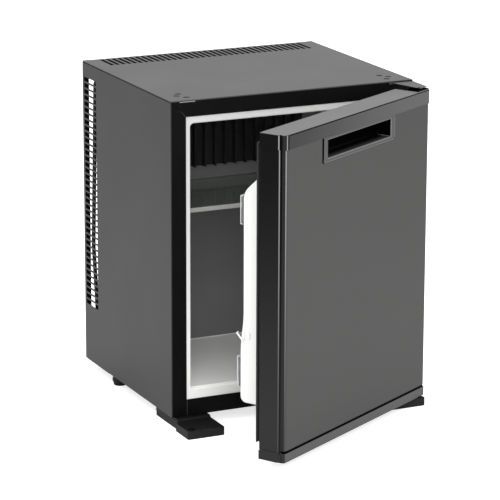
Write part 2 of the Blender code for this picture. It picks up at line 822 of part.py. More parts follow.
# Insulation between the lining and the sheet-metal body, and the steel back that closes it.
foam = block(
    "cabinet_insulation",
    (inner_left, FRAME_DEPTH + GAP, BASE_SHEET + GAP),
    (inner_right, BODY_BACK, HEIGHT - SHEET - GAP),
    cabinet,
    "foam",
)
cut(
    foam,
    slab(
        "liner_pocket",
        [mouth(LINER_WALL + GAP, LINER_CORNER + LINER_WALL + GAP)],
        -REACH,
        LINER_BACK + GAP,
        cabinet,
        plane="xz",
    ),
)
for hand, low, high in (
    ("left", -REACH, flange_x + SHEET + GAP),
    ("right", WIDTH - flange_x - SHEET - GAP, WIDTH + REACH),
):
    foam_notch = block(
        "flange_notch_" + hand,
        (low, 0.0, HEIGHT - TOP_FLANGE_DROP - GAP),
        (high, BODY_BACK + REACH, HEIGHT),
        cabinet,
    )
    cut(foam, foam_notch)
hinge_pocket_x = HINGE_TONGUE_FROM_SIDE + HINGE_TONGUE_WIDTH + 2 * GAP
hinge_pocket_y = HINGE_TONGUE_LENGTH + 2 * GAP
hinge_pocket_z = tongue_bottom - SCREW_SINK - GAP
for hand, low, high in (
    ("left", -REACH, hinge_pocket_x),
    ("right", WIDTH - hinge_pocket_x, WIDTH + REACH),
):
    cut(
        foam,
        block(
            "hinge_pocket_" + hand,
            (low, 0.0, hinge_pocket_z),
            (high, hinge_pocket_y, HEIGHT),
            cabinet,
        ),
    )
body_back = block(
    "back_plate",
    (inner_left, BODY_BACK + GAP, BASE_SHEET + GAP),
    (inner_right, BODY_BACK + GAP + SHEET, HEIGHT - SHEET - GAP),
    cabinet,
    "graphite_paint",
)

# Shelf: a glass plate with a moulded trim along its front and back edges, on the ledges.
shelf_left = mouth_left + SHELF_SIDE_GAP
shelf_right = mouth_right - SHELF_SIDE_GAP
glass_low = shelf_top - SHELF_GLASS
block(
    "shelf_glass",
    (shelf_left, SHELF_FRONT + PROFILE_WALL + GAP, glass_low),
    (shelf_right, shelf_back - PROFILE_WALL - GAP, shelf_top),
    cabinet,
    "smoked_glass",
)
trim_top = shelf_top + 2 * GAP
for name, edge, side in (
    ("shelf_front_trim", SHELF_FRONT, 1.0),
    ("shelf_rear_trim", shelf_back, -1.0),
):
    trim_bottom = trim_top - SHELF_TRIM_HEIGHT
    inner = edge + side * PROFILE_WALL
    tip = edge + side * SHELF_TRIM_DEPTH
    channel = [
        (edge, trim_bottom),
        (edge, shelf_top),
        (inner, shelf_top),
        (inner, glass_low - GAP),
        (tip, glass_low - GAP),
        (tip, trim_bottom),
    ]
    slab(name, [channel], shelf_left, shelf_right, cabinet, "grey_trim", "yz")

# Feet: two blocks under the front corners that carry the door's end too, two round ones behind.
foot_plan = rounded([
    (0.0, -FOOT_FRONT, FOOT_CORNER),
    (FOOT_WIDTH, -FOOT_FRONT, FOOT_CORNER),
    (FOOT_WIDTH, FOOT_BACK, FOOT_CORNER),
    (FOOT_INSET, FOOT_BACK, FOOT_CORNER),
    (FOOT_INSET, -FOOT_STEP, 0.0),
    (0.0, -FOOT_STEP, 0.0),
], 3)
rise_plan = rectangle(FOOT_INSET + GAP, -FOOT_RISE_FRONT, FOOT_WIDTH - GAP, FOOT_BACK - GAP)
lower_front_top = -FOOT_DROP - GAP / 2
lower_front_low = lower_front_top - LOWER_PLATE
lower_front = HINGE_Y - HINGE_PLATE_NOSE
plate_recesses = [
    block(
        "foot_recess_front",
        (tongue_left - GAP, lower_front - GAP, lower_front_low - GAP),
        (WIDTH + REACH, REACH, REACH),
        cabinet,
    ),
    block(
        "foot_recess_rear",
        (tongue_left - GAP, -FOOT_RISE_FRONT - REACH, -LOWER_PLATE - 2 * GAP),
        (WIDTH - FOOT_INSET + REACH, HINGE_TONGUE_LENGTH + GAP, REACH),
        cabinet,
    ),
]


def stud(name, x, y, start):
    """A moulded stud that snaps a foot into the base pan."""
    return rod(name, (x, y, start), BASE_SHEET - start, STUD_RADIUS, "z", cabinet, segments=12)


def stud_hole(name, x, y):
    return rod(
        name, (x, y, -REACH), 2 * REACH, STUD_RADIUS + GAP, "z", cabinet, segments=12
    )


foot_mirror = {"left": lambda outline: outline, "right": mirrored}
for hand, place in foot_mirror.items():
    foot = slab(
        "front_foot_" + hand, [place(foot_plan)], -FOOT_HEIGHT, -FOOT_DROP, cabinet, "black_plastic"
    )
    join(
        foot,
        slab("foot_rise_" + hand, [place(rise_plan)], -FOOT_HEIGHT / 2, -GAP, cabinet),
    )
    hole_x = place([(FOOT_HOLE_FROM_SIDE, 0.0)])[0][0]
    stud_x = place([(STUD_PLACE, 0.0)])[0][0]
    for number, y in enumerate(STUD_ROW, 1):
        name = "foot_stud_%s_%d" % (hand, number)
        join(foot, stud(name, stud_x, y, -FOOT_HEIGHT / 2))
        cut(base_pan, stud_hole("pan_hole_%s_%d" % (hand, number), stud_x, y))
    cut(
        foot,
        rod(
            "foot_fixing_hole_" + hand,
            (hole_x, -FOOT_FRONT + FOOT_HOLE_SETBACK, -FOOT_HEIGHT - REACH),
            FOOT_HEIGHT + REACH,
            FOOT_HOLE,
            "z",
            cabinet,
            segments=12,
        ),
    )
    if hand == "right":
        cut(foot, *plate_recesses)
rear_places = {"left": REAR_FOOT_FROM_SIDE, "right": WIDTH - REAR_FOOT_FROM_SIDE}
for hand, x in rear_places.items():
    foot = rod(
        "rear_foot_" + hand,
        (x, REAR_FOOT_Y, -FOOT_HEIGHT),
        FOOT_HEIGHT - GAP,
        REAR_FOOT_BOTTOM,
        "z",
        cabinet,
        "black_plastic",
        REAR_FOOT_TOP,
    )
    join(foot, stud("rear_stud_" + hand, x, REAR_FOOT_Y, -FOOT_HEIGHT / 2))
    cut(base_pan, stud_hole("rear_pan_hole_" + hand, x, REAR_FOOT_Y))

# Upper hinge: a flat nose over the door, a web in front of the frame and a tongue under the top.
nose_plan = [
    (WIDTH - HINGE_PLATE_INNER, -HINGE_WEB_STANDOFF),
    (WIDTH - HINGE_PLATE_INNER, -HINGE_PLATE_NOSE),
    (HINGE_X - HINGE_NOSE_REACH, HINGE_Y - HINGE_PLATE_NOSE),
    (WIDTH, HINGE_Y - HINGE_PLATE_NOSE + HINGE_NOSE_RAKE),
    (WIDTH, -HINGE_WEB_STANDOFF),
]
top_hinge = slab(
    "top_hinge_plate", [nose_plan], HEIGHT - HINGE_PLATE, HEIGHT, cabinet, "graphite_paint"
)
web_back = -HINGE_WEB_STANDOFF - GAP
join(
    top_hinge,
    block(
        "top_hinge_web",
        (tongue_left, web_back - HINGE_WEB, tongue_bottom),
        (tongue_right, web_back, HEIGHT - HINGE_PLATE / 2),
        cabinet,
    ),
    block(
        "top_hinge_tongue",
        (tongue_left + GAP, web_back - HINGE_WEB / 2, tongue_bottom + GAP / 3),
        (tongue_right - GAP, HINGE_TONGUE_LENGTH, tongue_top),
        cabinet,
    ),
)
for number, (x, y) in enumerate(right_holes, 1):
    cut(
        top_hinge,
        rod(
            "tongue_hole_%d" % number,
            (x, y, tongue_bottom - REACH),
            HEIGHT,
            SCREW_SHANK + GAP,
            "z",
            cabinet,
            segments=12,
        ),
    )
block(
    "spare_hinge_strip",
    (WIDTH - tongue_right, GAP, tongue_bottom),
    (WIDTH - tongue_left, HINGE_TONGUE_LENGTH, tongue_top),
    cabinet,
    "zinc",
)
strip = bpy.data.objects["spare_hinge_strip"]
for number, (x, y) in enumerate(HINGE_HOLES, 1):
    cut(
        strip,
        rod(
            "strip_hole_%d" % number,
            (x, y, tongue_bottom - REACH),
            HEIGHT,
            SCREW_SHANK + GAP,
            "z",
            cabinet,
            segments=12,
        ),
    )
screw_tip = tongue_bottom
for number, (x, y) in enumerate(right_holes, 1):
    turned(
        "top_hinge_screw_%d" % number,
        [
            (0.0, HEIGHT),
            (SCREW_HEAD, HEIGHT),
            (SCREW_HEAD, HEIGHT - SCREW_SINK - GAP),
            (SCREW_SHANK, HEIGHT - SCREW_SINK - GAP),
            (SCREW_SHANK, screw_tip),
            (0.0, screw_tip),
        ],
        (x, y, 0.0),
        cabinet,
        "black_paint",
        12,
    )
plug_web_top = HEIGHT - SHEET - GAP
plug_web = block(
    "spare_hole_plugs",
    (WIDTH - tongue_right, HINGE_HOLES[2][1] - SCREW_HEAD, plug_web_top - PLUG_WEB),
    (WIDTH - tongue_left, HINGE_HOLES[0][1] + SCREW_HEAD, plug_web_top),
    cabinet,
    "black_plastic",
)
for number, (x, y) in enumerate(HINGE_HOLES, 1):
    low = plug_web_top - PLUG_WEB / 2
    name = "plug_%d" % number
    join(plug_web, rod(name, (x, y, low), HEIGHT - low, SCREW_HEAD, "z", cabinet, segments=12))
pin_top = HEIGHT - HINGE_PLATE - GAP
recess_floor = DOOR_TOP - HINGE_RECESS
turned(
    "top_hinge_pin",
    [
        (0.0, pin_top),
        (PIN_COLLAR, pin_top),
        (PIN_COLLAR, pin_top - PIN_COLLAR_HEIGHT),
        (PIN_RADIUS, pin_top - PIN_COLLAR_HEIGHT),
        (PIN_RADIUS, pin_top - PIN_LENGTH),
        (0.0, pin_top - PIN_LENGTH),
    ],
    (HINGE_X, HINGE_Y, 0.0),
    cabinet,
    "zinc",
)

# Lower hinge: the same plate turned over, sunk in the right-hand foot, with a pin that points up.
lower_plan = [
    (WIDTH - HINGE_PLATE_INNER, -HINGE_WEB_STANDOFF),
    (WIDTH - HINGE_PLATE_INNER, -HINGE_PLATE_NOSE),
    (HINGE_X - HINGE_NOSE_REACH, lower_front),
    (WIDTH, lower_front + HINGE_NOSE_RAKE),
    (WIDTH, -HINGE_WEB_STANDOFF),
]
bottom_hinge = slab(
    "bottom_hinge_plate", [lower_plan], lower_front_low, lower_front_top, cabinet, "zinc"
)
lower_tongue_low = -GAP - LOWER_PLATE
join(
    bottom_hinge,
    block(
        "bottom_hinge_web",
        (tongue_left, web_back - HINGE_WEB, lower_front_low + GAP / 3),
        (tongue_right, web_back, -GAP),
        cabinet,
    ),
    block(
        "bottom_hinge_tongue",
        (tongue_left + GAP, web_back - HINGE_WEB / 2, lower_tongue_low),
        (tongue_right - GAP, HINGE_TONGUE_LENGTH, -GAP - GAP / 3),
        cabinet,
    ),
)
for number, y in enumerate(STUD_ROW, 1):
    cut(bottom_hinge, stud_hole("hinge_stud_hole_%d" % number, WIDTH - STUD_PLACE, y))
lower_pin_base = lower_front_top + GAP
turned(
    "bottom_hinge_pin",
    [
        (0.0, lower_pin_base + LOWER_PIN_LENGTH),
        (PIN_RADIUS, lower_pin_base + LOWER_PIN_LENGTH),
        (PIN_RADIUS, lower_pin_base),
        (0.0, lower_pin_base),
    ],
    (HINGE_X, HINGE_Y, 0.0),
    cabinet,
    "zinc",
)


def edge_contour(inset, back):
    """One edge of the door from its back to its front face: shoulder, groove and rounded nose."""
    front = -DOOR_FRONT
    shelf = front + SHOULDER - SHOULDER_CHAMFER
    floor = inset + NOSE_SETBACK + GROOVE_DEPTH
    return [
        (inset, back, 0.0),
        (inset, front + SHOULDER, 0.0),
        (inset + SHOULDER_CHAMFER, shelf, 0.0),
        (floor, shelf - GROOVE_DRAFT, 0.0),
        (floor, shelf - GROOVE_WIDTH + GROOVE_DRAFT, 0.0),
        (inset + NOSE_SETBACK, shelf - GROOVE_WIDTH, 0.0),
        (inset + NOSE_SETBACK, front, NOSE_RADIUS),
    ]


def opposite(corners):
    return [(WIDTH - x, y, radius) for x, y, radius in reversed(corners)]


cap_plan = rounded(edge_contour(0.0, DOOR_BACK) + opposite(edge_contour(0.0, DOOR_BACK)))
band_seam = DOOR_TOP - TOP_BAND
bottom_seam = DOOR_BOTTOM + BOTTOM_BAND
panel_low = bottom_seam + BAND_GAP
panel_high = band_seam - GAP
hollow_right = WIDTH - CAP_BOSS

# Top cap with the handle: the recessed grip lies behind a lip, in a housing sunk in the door.
top_cap = slab("door_top_cap", [cap_plan], band_seam, DOOR_TOP, door, "graphite_plastic")
cut(
    top_cap,
    block(
        "top_cap_hollow",
        (NOSE_SETBACK + GROOVE_DEPTH + CAP_WALL, -DOOR_FRONT + CAP_WALL, band_seam - REACH),
        (hollow_right, DOOR_BACK - CAP_WALL, DOOR_TOP - CAP_WALL),
        door,
    ),
)
housing = slab(
    "handle_housing",
    [rounded([
        (HANDLE_LEFT, HANDLE_BOTTOM, HANDLE_CORNER),
        (HANDLE_RIGHT, HANDLE_BOTTOM, HANDLE_CORNER),
        (HANDLE_RIGHT, DOOR_TOP - CAP_WALL / 2, 0.0),
        (HANDLE_LEFT, DOOR_TOP - CAP_WALL / 2, 0.0),
    ])],
    -DOOR_FRONT + GAP / 3,
    -DOOR_FRONT + HANDLE_DEPTH,
    door,
    plane="xz",
)
join(top_cap, housing)
grip_left = HANDLE_LEFT + HANDLE_RIM
grip_right = HANDLE_RIGHT - HANDLE_RIM
grip_bottom = HANDLE_BOTTOM + HANDLE_SILL
grip_back = -DOOR_FRONT + HANDLE_DEPTH - HANDLE_WALL
grip_section = rounded([
    (-DOOR_FRONT - REACH, grip_bottom, 0.0),
    (grip_back, grip_bottom, GRIP_BEND),
    (grip_back, GRIP_TOP + GRIP_RISE, GRIP_BEND),
    (-DOOR_FRONT + HANDLE_LIP, GRIP_TOP + GRIP_RISE, 0.0),
    (-DOOR_FRONT + HANDLE_LIP, GRIP_TOP, GRIP_LIP_BEND),
    (-DOOR_FRONT - REACH, GRIP_TOP, 0.0),
], 3)
cut(top_cap, slab("grip_pocket", [grip_section], grip_left, grip_right, door, plane="yz"))
cut(
    top_cap,
    block(
        "top_hinge_recess",
        (WIDTH - HINGE_PLATE_INNER, -DOOR_FRONT + HINGE_RECESS_WALL, recess_floor),
        (WIDTH + REACH, DOOR_BACK + REACH, DOOR_TOP + REACH),
        door,
    ),
)
bush_bore = PIN_RADIUS + GAP + BUSH_WALL + GAP
cut(
    top_cap,
    rod(
        "top_bush_bore",
        (HINGE_X, HINGE_Y, band_seam - REACH),
        DOOR_TOP,
        bush_bore,
        "z",
        door,
    ),
)

# Bottom cap, with the lower bush at its hinge end.
bottom_cap = slab("door_bottom_cap", [cap_plan], DOOR_BOTTOM, bottom_seam, door, "graphite_plastic")
cut(
    bottom_cap,
    block(
        "bottom_cap_hollow",
        (NOSE_SETBACK + GROOVE_DEPTH + CAP_WALL, -DOOR_FRONT + CAP_WALL, DOOR_BOTTOM + CAP_WALL),
        (hollow_right, DOOR_BACK - CAP_WALL, bottom_seam + REACH),
        door,
    ),
    rod(
        "bottom_bush_bore",
        (HINGE_X, HINGE_Y, DOOR_BOTTOM - REACH),
        BOTTOM_BAND + 2 * REACH,
        bush_bore,
        "z",
        door,
    ),
)


def bush_profile(flange_face, away):
    """A flanged sleeve: its flange lies on the cap, its sleeve in the cap's bore."""
    inner = PIN_RADIUS + GAP
    outer = inner + BUSH_WALL
    under = flange_face - away * GAP
    return [
        (inner, under + away * (BUSH_FLANGE_HEIGHT + GAP)),
        (BUSH_FLANGE, under + away * (BUSH_FLANGE_HEIGHT + GAP)),
        (BUSH_FLANGE, flange_face + away * GAP),
        (outer, flange_face + away * GAP),
        (outer, flange_face - away * BUSH_LENGTH),
        (inner, flange_face - away * BUSH_LENGTH),
    ]


turned(
    "upper_hinge_bush",
    bush_profile(recess_floor, 1.0),
    (HINGE_X, HINGE_Y, 0.0),
    door,
    "acetal",
    ring=True,
)
turned(
    "lower_hinge_bush",
    list(reversed(bush_profile(DOOR_BOTTOM, -1.0))),
    (HINGE_X, HINGE_Y, 0.0),
    door,
    "acetal",
    ring=True,
)


# Front sheet: bent round both noses and into the grooves, notched for the handle.
def sheet_edge(inset, wall):
    front = -DOOR_FRONT
    groove_front = front + SHOULDER - SHOULDER_CHAMFER - GROOVE_WIDTH
    return [
        (inset + NOSE_SETBACK + GROOVE_DEPTH, groove_front - wall, 0.0),
        (inset + NOSE_SETBACK + wall, groove_front - wall, 0.0),
        (inset + NOSE_SETBACK + wall, front + wall, NOSE_RADIUS - wall),
    ]


outer_sheet = sheet_edge(FREE_INSET, 0.0) + opposite(sheet_edge(HINGE_INSET, 0.0))
inner_sheet = sheet_edge(FREE_INSET, PANEL_SHEET) + opposite(sheet_edge(HINGE_INSET, PANEL_SHEET))
panel = slab(
    "door_front_panel",
    [rounded(outer_sheet) + list(reversed(rounded(inner_sheet)))],
    panel_low,
    panel_high,
    door,
    "graphite_paint",
)
cut(
    panel,
    slab(
        "handle_notch",
        [rounded([
            (HANDLE_LEFT - GAP, HANDLE_BOTTOM - GAP, HANDLE_CORNER),
            (HANDLE_RIGHT + GAP, HANDLE_BOTTOM - GAP, HANDLE_CORNER),
            (HANDLE_RIGHT + GAP, DOOR_TOP, 0.0),
            (HANDLE_LEFT - GAP, DOOR_TOP, 0.0),
        ])],
        -DOOR_FRONT - REACH,
        -DOOR_FRONT + REACH,
        door,
        plane="xz",
    ),
)


def side_profile(inset):
    """The moulded side of the door: a channel with the groove along its front edge."""
    front = -DOOR_FRONT
    shelf = front + SHOULDER - SHOULDER_CHAMFER
    floor = inset + NOSE_SETBACK + GROOVE_DEPTH
    groove_end = shelf - GROOVE_WIDTH + GAP
    return [
        (inset, DOOR_BACK),
        (inset, front + SHOULDER),
        (inset + SHOULDER_CHAMFER, shelf),
        (floor, shelf),
        (floor, groove_end),
        (floor + PROFILE_WALL, groove_end),
        (floor + PROFILE_WALL, shelf + PROFILE_WALL),
        (inset + PROFILE_WALL, shelf + PROFILE_WALL),
        (inset + PROFILE_WALL, DOOR_BACK - PROFILE_WALL),
        (inset + PROFILE_WALL + PROFILE_RETURN, DOOR_BACK - PROFILE_WALL),
        (inset + PROFILE_WALL + PROFILE_RETURN, DOOR_BACK),
    ]


slab("door_profile_free", [side_profile(FREE_INSET)], panel_low, panel_high, door, "black_plastic")
slab(
    "door_profile_hinge",
    [mirrored(side_profile(HINGE_INSET))],
    panel_low,
    panel_high,
    door,
    "black_plastic",
)

# Door insulation, cut away round the handle's housing.
foam_edge = NOSE_SETBACK + GROOVE_DEPTH + PROFILE_WALL + GAP
foam_front = -DOOR_FRONT + PANEL_SHEET + GAP
door_foam = block(
    "door_insulation",
    (FREE_INSET + foam_edge, foam_front, panel_low),
    (WIDTH - HINGE_INSET - foam_edge, DOOR_BACK - PROFILE_WALL - GAP, panel_high - GAP),
    door,
    "foam",
)
cut(
    door_foam,
    block(
        "housing_pocket",
        (HANDLE_LEFT - GAP, -DOOR_FRONT - REACH, HANDLE_BOTTOM - GAP),
        (HANDLE_RIGHT + GAP, -DOOR_FRONT + HANDLE_DEPTH + GAP, DOOR_TOP + REACH),
        door,
    ),
)

# Door lining: a flat back with two hollow dykes and a floor between them.
lining_front = DOOR_BACK + GAP
lining_back = lining_front + LINER_WALL
lining_top = DOOR_TOP - GASKET_TOP_MARGIN
door_liner = block(
    "door_liner",
    (GASKET_MARGIN, lining_front, GASKET_BOTTOM),
    (WIDTH - GASKET_MARGIN, lining_back, lining_top),
    door,
    "white_plastic",
)


def dyke_side(shrink):
    """A dyke seen from the side, drawn in by its wall for the hollow."""
    root = lining_front if shrink else lining_front + LINER_WALL / 2
    return rounded([
        (root - (REACH if shrink else 0.0), DYKE_BOTTOM + shrink, 0.0),
        (DYKE_LOWER - shrink, DYKE_BOTTOM + shrink, DYKE_FOOT_BEND - shrink),
        (DYKE_LOWER - shrink, DYKE_STEP - shrink, DYKE_STEP_BEND),
        (DYKE_UPPER - shrink, DYKE_STEP + DYKE_LOWER - DYKE_UPPER - shrink, DYKE_STEP_BEND),
        (DYKE_UPPER - shrink, DYKE_TOP - DYKE_SLOPE - shrink / 2, DYKE_SHOULDER_BEND),
        (root - (REACH if shrink else 0.0), DYKE_TOP - shrink, 0.0),
    ], 3)


dykes = {
    "free": (DYKE_LEFT, DYKE_LEFT + DYKE_WIDTH),
    "hinge": (WIDTH - DYKE_LEFT - DYKE_WIDTH, WIDTH - DYKE_LEFT),
}
for hand, (low, high) in dykes.items():
    join(door_liner, slab("dyke_" + hand, [dyke_side(0.0)], low, high, door, plane="yz"))
between_left = dykes["free"][1]
between_right = dykes["hinge"][0]
lower_floor = LOWER_GUARD[0] - DYKE_FLOOR
join(
    door_liner,
    block(
        "door_floor",
        (between_left - LINER_WALL, lining_front + LINER_WALL / 2, lower_floor),
        (between_right + LINER_WALL, DYKE_UPPER, LOWER_GUARD[0] - GAP),
        door,
    ),
)
for hand, (low, high) in dykes.items():
    cut(
        door_liner,
        slab(
            "dyke_hollow_" + hand,
            [dyke_side(LINER_WALL)],
            low + LINER_WALL,
            high - LINER_WALL,
            door,
            plane="yz",
        ),
    )

# Clear balconies: a floor, a front guard that stands proud of the dykes and two hooks.
for name, (low, high), dyke_face in (
    ("upper_balcony", UPPER_GUARD, DYKE_UPPER),
    ("lower_balcony", LOWER_GUARD, DYKE_LOWER),
):
    guard_front = dyke_face + BALCONY_PROUD
    guard_left = DYKE_LEFT + BALCONY_HOOK
    inside_left = between_left + GAP
    plan = [
        (guard_left, dyke_face + GAP),
        (guard_left, guard_front),
        (WIDTH - guard_left, guard_front),
        (WIDTH - guard_left, dyke_face + GAP),
        (WIDTH - inside_left, dyke_face + GAP),
        (WIDTH - inside_left, dyke_face - 2 * BALCONY_HOOK),
        (WIDTH - inside_left - BALCONY_WALL, dyke_face - 2 * BALCONY_HOOK),
        (WIDTH - inside_left - BALCONY_WALL, guard_front - BALCONY_WALL),
        (inside_left + BALCONY_WALL, guard_front - BALCONY_WALL),
        (inside_left + BALCONY_WALL, dyke_face - 2 * BALCONY_HOOK),
        (inside_left, dyke_face - 2 * BALCONY_HOOK),
        (inside_left, dyke_face + GAP),
    ]
    balcony = slab(name, [plan], low, high, door, "clear_plastic")
    join(
        balcony,
        block(
            name + "_floor",
            (inside_left + GAP, lining_back + GAP, low + GAP / 3),
            (WIDTH - inside_left - GAP, guard_front - BALCONY_WALL / 2, low + BALCONY_WALL),
            door,
        ),
    )

# A small hook on the free dyke that steadies a bottle.
clip_y = DYKE_LOWER - 3 * BALCONY_HOOK
hook = [
    (DYKE_LEFT - GAP, clip_y),
    (DYKE_LEFT - GAP, clip_y + CLIP_REACH),
    (DYKE_LEFT - GAP - CLIP_HOOK, clip_y + CLIP_REACH),
    (DYKE_LEFT - GAP - CLIP_HOOK, clip_y + CLIP_REACH - CLIP_BARB),
    (DYKE_LEFT - GAP - CLIP_PLATE, clip_y + CLIP_REACH - CLIP_BARB),
    (DYKE_LEFT - GAP - CLIP_PLATE, clip_y),
]
slab("bottle_clip", [hook], CLIP_Z, CLIP_Z + CLIP_HEIGHT, door, "white_plastic")

# Magnetic gasket round the lining.
gasket_low = lining_back + GAP
slab(
    "door_gasket",
    [
        rectangle(GASKET_MARGIN, GASKET_BOTTOM, WIDTH - GASKET_MARGIN, lining_top, GASKET_CORNER),
        rectangle(
            GASKET_MARGIN + GASKET_WIDTH,
            GASKET_BOTTOM + GASKET_WIDTH,
            WIDTH - GASKET_MARGIN - GASKET_WIDTH,
            lining_top - GASKET_WIDTH,
            GASKET_CORNER,
        ),
    ],
    gasket_low,
    -2 * GAP,
    door,
    "rubber",
    "xz",
)

# Cooling unit: absorber vessel, boiler in its jacket, condenser with fins, absorber coil and vent.
vessel = rod(
    "absorber_vessel",
    (VESSEL_LEFT, UNIT_PLANE, VESSEL_HEIGHT),
    VESSEL_RIGHT - VESSEL_LEFT,
    VESSEL_RADIUS,
    "x",
    cabinet,
    "black_paint",
)
round_edges(vessel, VESSEL_END_BEVEL)
boiler_top = CONDENSER_HEIGHT - TUBE - GAP
tube(
    "boiler_tube",
    bent(
        [
            (VESSEL_RIGHT + GAP, UNIT_PLANE, VESSEL_HEIGHT),
            (BOILER_X, UNIT_PLANE, VESSEL_HEIGHT),
            (BOILER_X, UNIT_PLANE, boiler_top),
        ],
        BEND,
    ),
    TUBE,
    cabinet,
    "black_paint",
)
jacket = rod(
    "boiler_jacket",
    (BOILER_X, UNIT_PLANE, JACKET_BOTTOM),
    JACKET_TOP - JACKET_BOTTOM,
    JACKET_RADIUS,
    "z",
    cabinet,
    "zinc",
)
heater_x = BOILER_X + HEATER_OFFSET
heater_low = JACKET_BOTTOM - HEATER_PROUD
cut(
    jacket,
    rod("jacket_bore", (BOILER_X, UNIT_PLANE, 0.0), HEIGHT, TUBE + GAP, "z", cabinet),
    rod(
        "heater_bore",
        (heater_x, UNIT_PLANE, heater_low),
        HEATER_LENGTH + GAP,
        HEATER_RADIUS + GAP,
        "z",
        cabinet,
        segments=16,
    ),
)
rod(
    "heater_cartridge",
    (heater_x, UNIT_PLANE, heater_low),
    HEATER_LENGTH,
    HEATER_RADIUS,
    "z",
    cabinet,
    "zinc",
    segments=16,
)
tube(
    "condenser_tube",
    bent(
        [
            (BOILER_X + TUBE, UNIT_PLANE, CONDENSER_HEIGHT),
            (CONDENSER_LEFT, UNIT_PLANE, CONDENSER_HEIGHT),
            (CONDENSER_LEFT, UNIT_PLANE, CONDENSER_RETURN),
            (CONDENSER_ENTRY, UNIT_PLANE, CONDENSER_RETURN),
            (CONDENSER_ENTRY, plate_back + GAP, CONDENSER_RETURN),
        ],
        BEND,
    ),
    TUBE,
    cabinet,
    "black_paint",
)
coil_route = [(COIL_LEFT, UNIT_PLANE, VESSEL_HEIGHT + VESSEL_RADIUS + GAP)]
coil_rise = (COIL_ENTRY_HEIGHT - COIL_TOP_DROP - COIL_BOTTOM) / (COIL_PASSES - 1)
for turn in range(COIL_PASSES):
    level = COIL_BOTTOM + turn * coil_rise
    near, far = (COIL_LEFT, COIL_RIGHT) if turn % 2 == 0 else (COIL_RIGHT, COIL_LEFT)
    coil_route += [(near, UNIT_PLANE, level), (far, UNIT_PLANE, level)]
coil_end = coil_route[-1]
coil_route += [(coil_end[0], UNIT_PLANE, COIL_ENTRY_HEIGHT)]
coil_route += [(coil_end[0], plate_back + GAP, COIL_ENTRY_HEIGHT)]
tube("absorber_coil", bent(coil_route, BEND), COIL_TUBE, cabinet, "black_paint")
wall_bores = [
    rod(
        "condenser_wall_bore",
        (CONDENSER_ENTRY, cover_front - REACH, CONDENSER_RETURN),
        UNIT_PLANE - cover_front,
        TUBE + GAP,
        "y",
        cabinet,
        segments=16,
    ),
    rod(
        "coil_wall_bore",
        (coil_end[0], cover_front - REACH, COIL_ENTRY_HEIGHT),
        UNIT_PLANE - cover_front,
        COIL_TUBE + GAP,
        "y",
        cabinet,
        segments=16,
    ),
]
for wall in (back_cover, liner, foam, body_back):
    cut(wall, *wall_bores)
condenser_side = CONDENSER_LEFT - TUBE - GAP
vent_level = (CONDENSER_HEIGHT + CONDENSER_RETURN) / 2
vent_top = HEIGHT - VENT_DROP
tube(
    "vent_tube",
    bent(
        [
            (condenser_side, UNIT_PLANE, vent_level),
            (condenser_side - VENT_OFFSET, UNIT_PLANE, vent_level),
            (condenser_side - VENT_OFFSET, VENT_Y, vent_top),
            (VENT_X, VENT_Y, vent_top),
            (VENT_X - VENT_LEAN, VENT_Y, VENT_BOTTOM),
            (VENT_X, VENT_Y, VESSEL_HEIGHT + VENT_FOOT_RISE),
            (VENT_X + VENT_FOOT_REACH, UNIT_PLANE, VESSEL_HEIGHT),
            (VESSEL_LEFT - GAP, UNIT_PLANE, VESSEL_HEIGHT),
        ],
        VENT_BEND,
    ),
    VENT_TUBE,
    cabinet,
    "black_paint",
)
bm = bmesh.new()
fin_bore = TUBE + GAP
fins_length = BOILER_X - FINS_TO_BOILER - FIN_START
condenser_pitch = fins_length / (FIN_COUNT - 1)
for number in range(FIN_COUNT):
    bmesh.ops.create_cube(
        bm,
        size=1.0,
        matrix=Matrix.Translation((FIN_START + number * condenser_pitch, UNIT_PLANE, CONDENSER_HEIGHT))
        @ Matrix.Diagonal((FIN_THICKNESS, FIN_SIZE, FIN_SIZE, 1.0)),
    )
fins = add_mesh("condenser_fins", bm, cabinet, (0.0, 0.0, 0.0), "black_aluminium")
join(
    fins,
    rod(
        "fin_collars",
        (FIN_START, UNIT_PLANE, CONDENSER_HEIGHT),
        fins_length,
        fin_bore + FIN_COLLAR,
        "x",
        cabinet,
        segments=12,
    ),
)
cut(
    fins,
    rod(
        "fin_bore",
        (FIN_START - REACH, UNIT_PLANE, CONDENSER_HEIGHT),
        fins_length + 2 * REACH,
        fin_bore,
        "x",
        cabinet,
        segments=12,
    ),
)
plate_face = BODY_BACK + GAP + SHEET + GAP
vessel_middle = (VESSEL_LEFT + VESSEL_RIGHT) / 2
boiler_middle = (JACKET_BOTTOM + JACKET_TOP) / 2
half_width = BRACKET_WIDTH / 2
half_height = BRACKET_HEIGHT / 2
bracket = block(
    "unit_bracket",
    (vessel_middle - half_width, plate_face, VESSEL_HEIGHT - half_height),
    (BOILER_X + half_width, plate_face + BRACKET_SHEET, VESSEL_HEIGHT + half_height),
    cabinet,
    "black_paint",
)
join(
    bracket,
    block(
        "bracket_arm",
        (BOILER_X - half_width + GAP, plate_face, VESSEL_HEIGHT),
        (BOILER_X + half_width, plate_face + BRACKET_SHEET, boiler_middle + half_height),
        cabinet,
    ),
    block(
        "vessel_seat",
        (vessel_middle - half_width, plate_face + BRACKET_SHEET / 2, VESSEL_HEIGHT - half_height),
        (
            vessel_middle + half_width,
            UNIT_PLANE - VESSEL_RADIUS - GAP,
            VESSEL_HEIGHT + half_height,
        ),
        cabinet,
    ),
    block(
        "boiler_seat",
        (
            BOILER_X - half_width + GAP,
            plate_face + BRACKET_SHEET / 2,
            boiler_middle - half_height,
        ),
        (BOILER_X + half_width, UNIT_PLANE - JACKET_RADIUS - GAP, boiler_middle + half_height),
        cabinet,
    ),
)

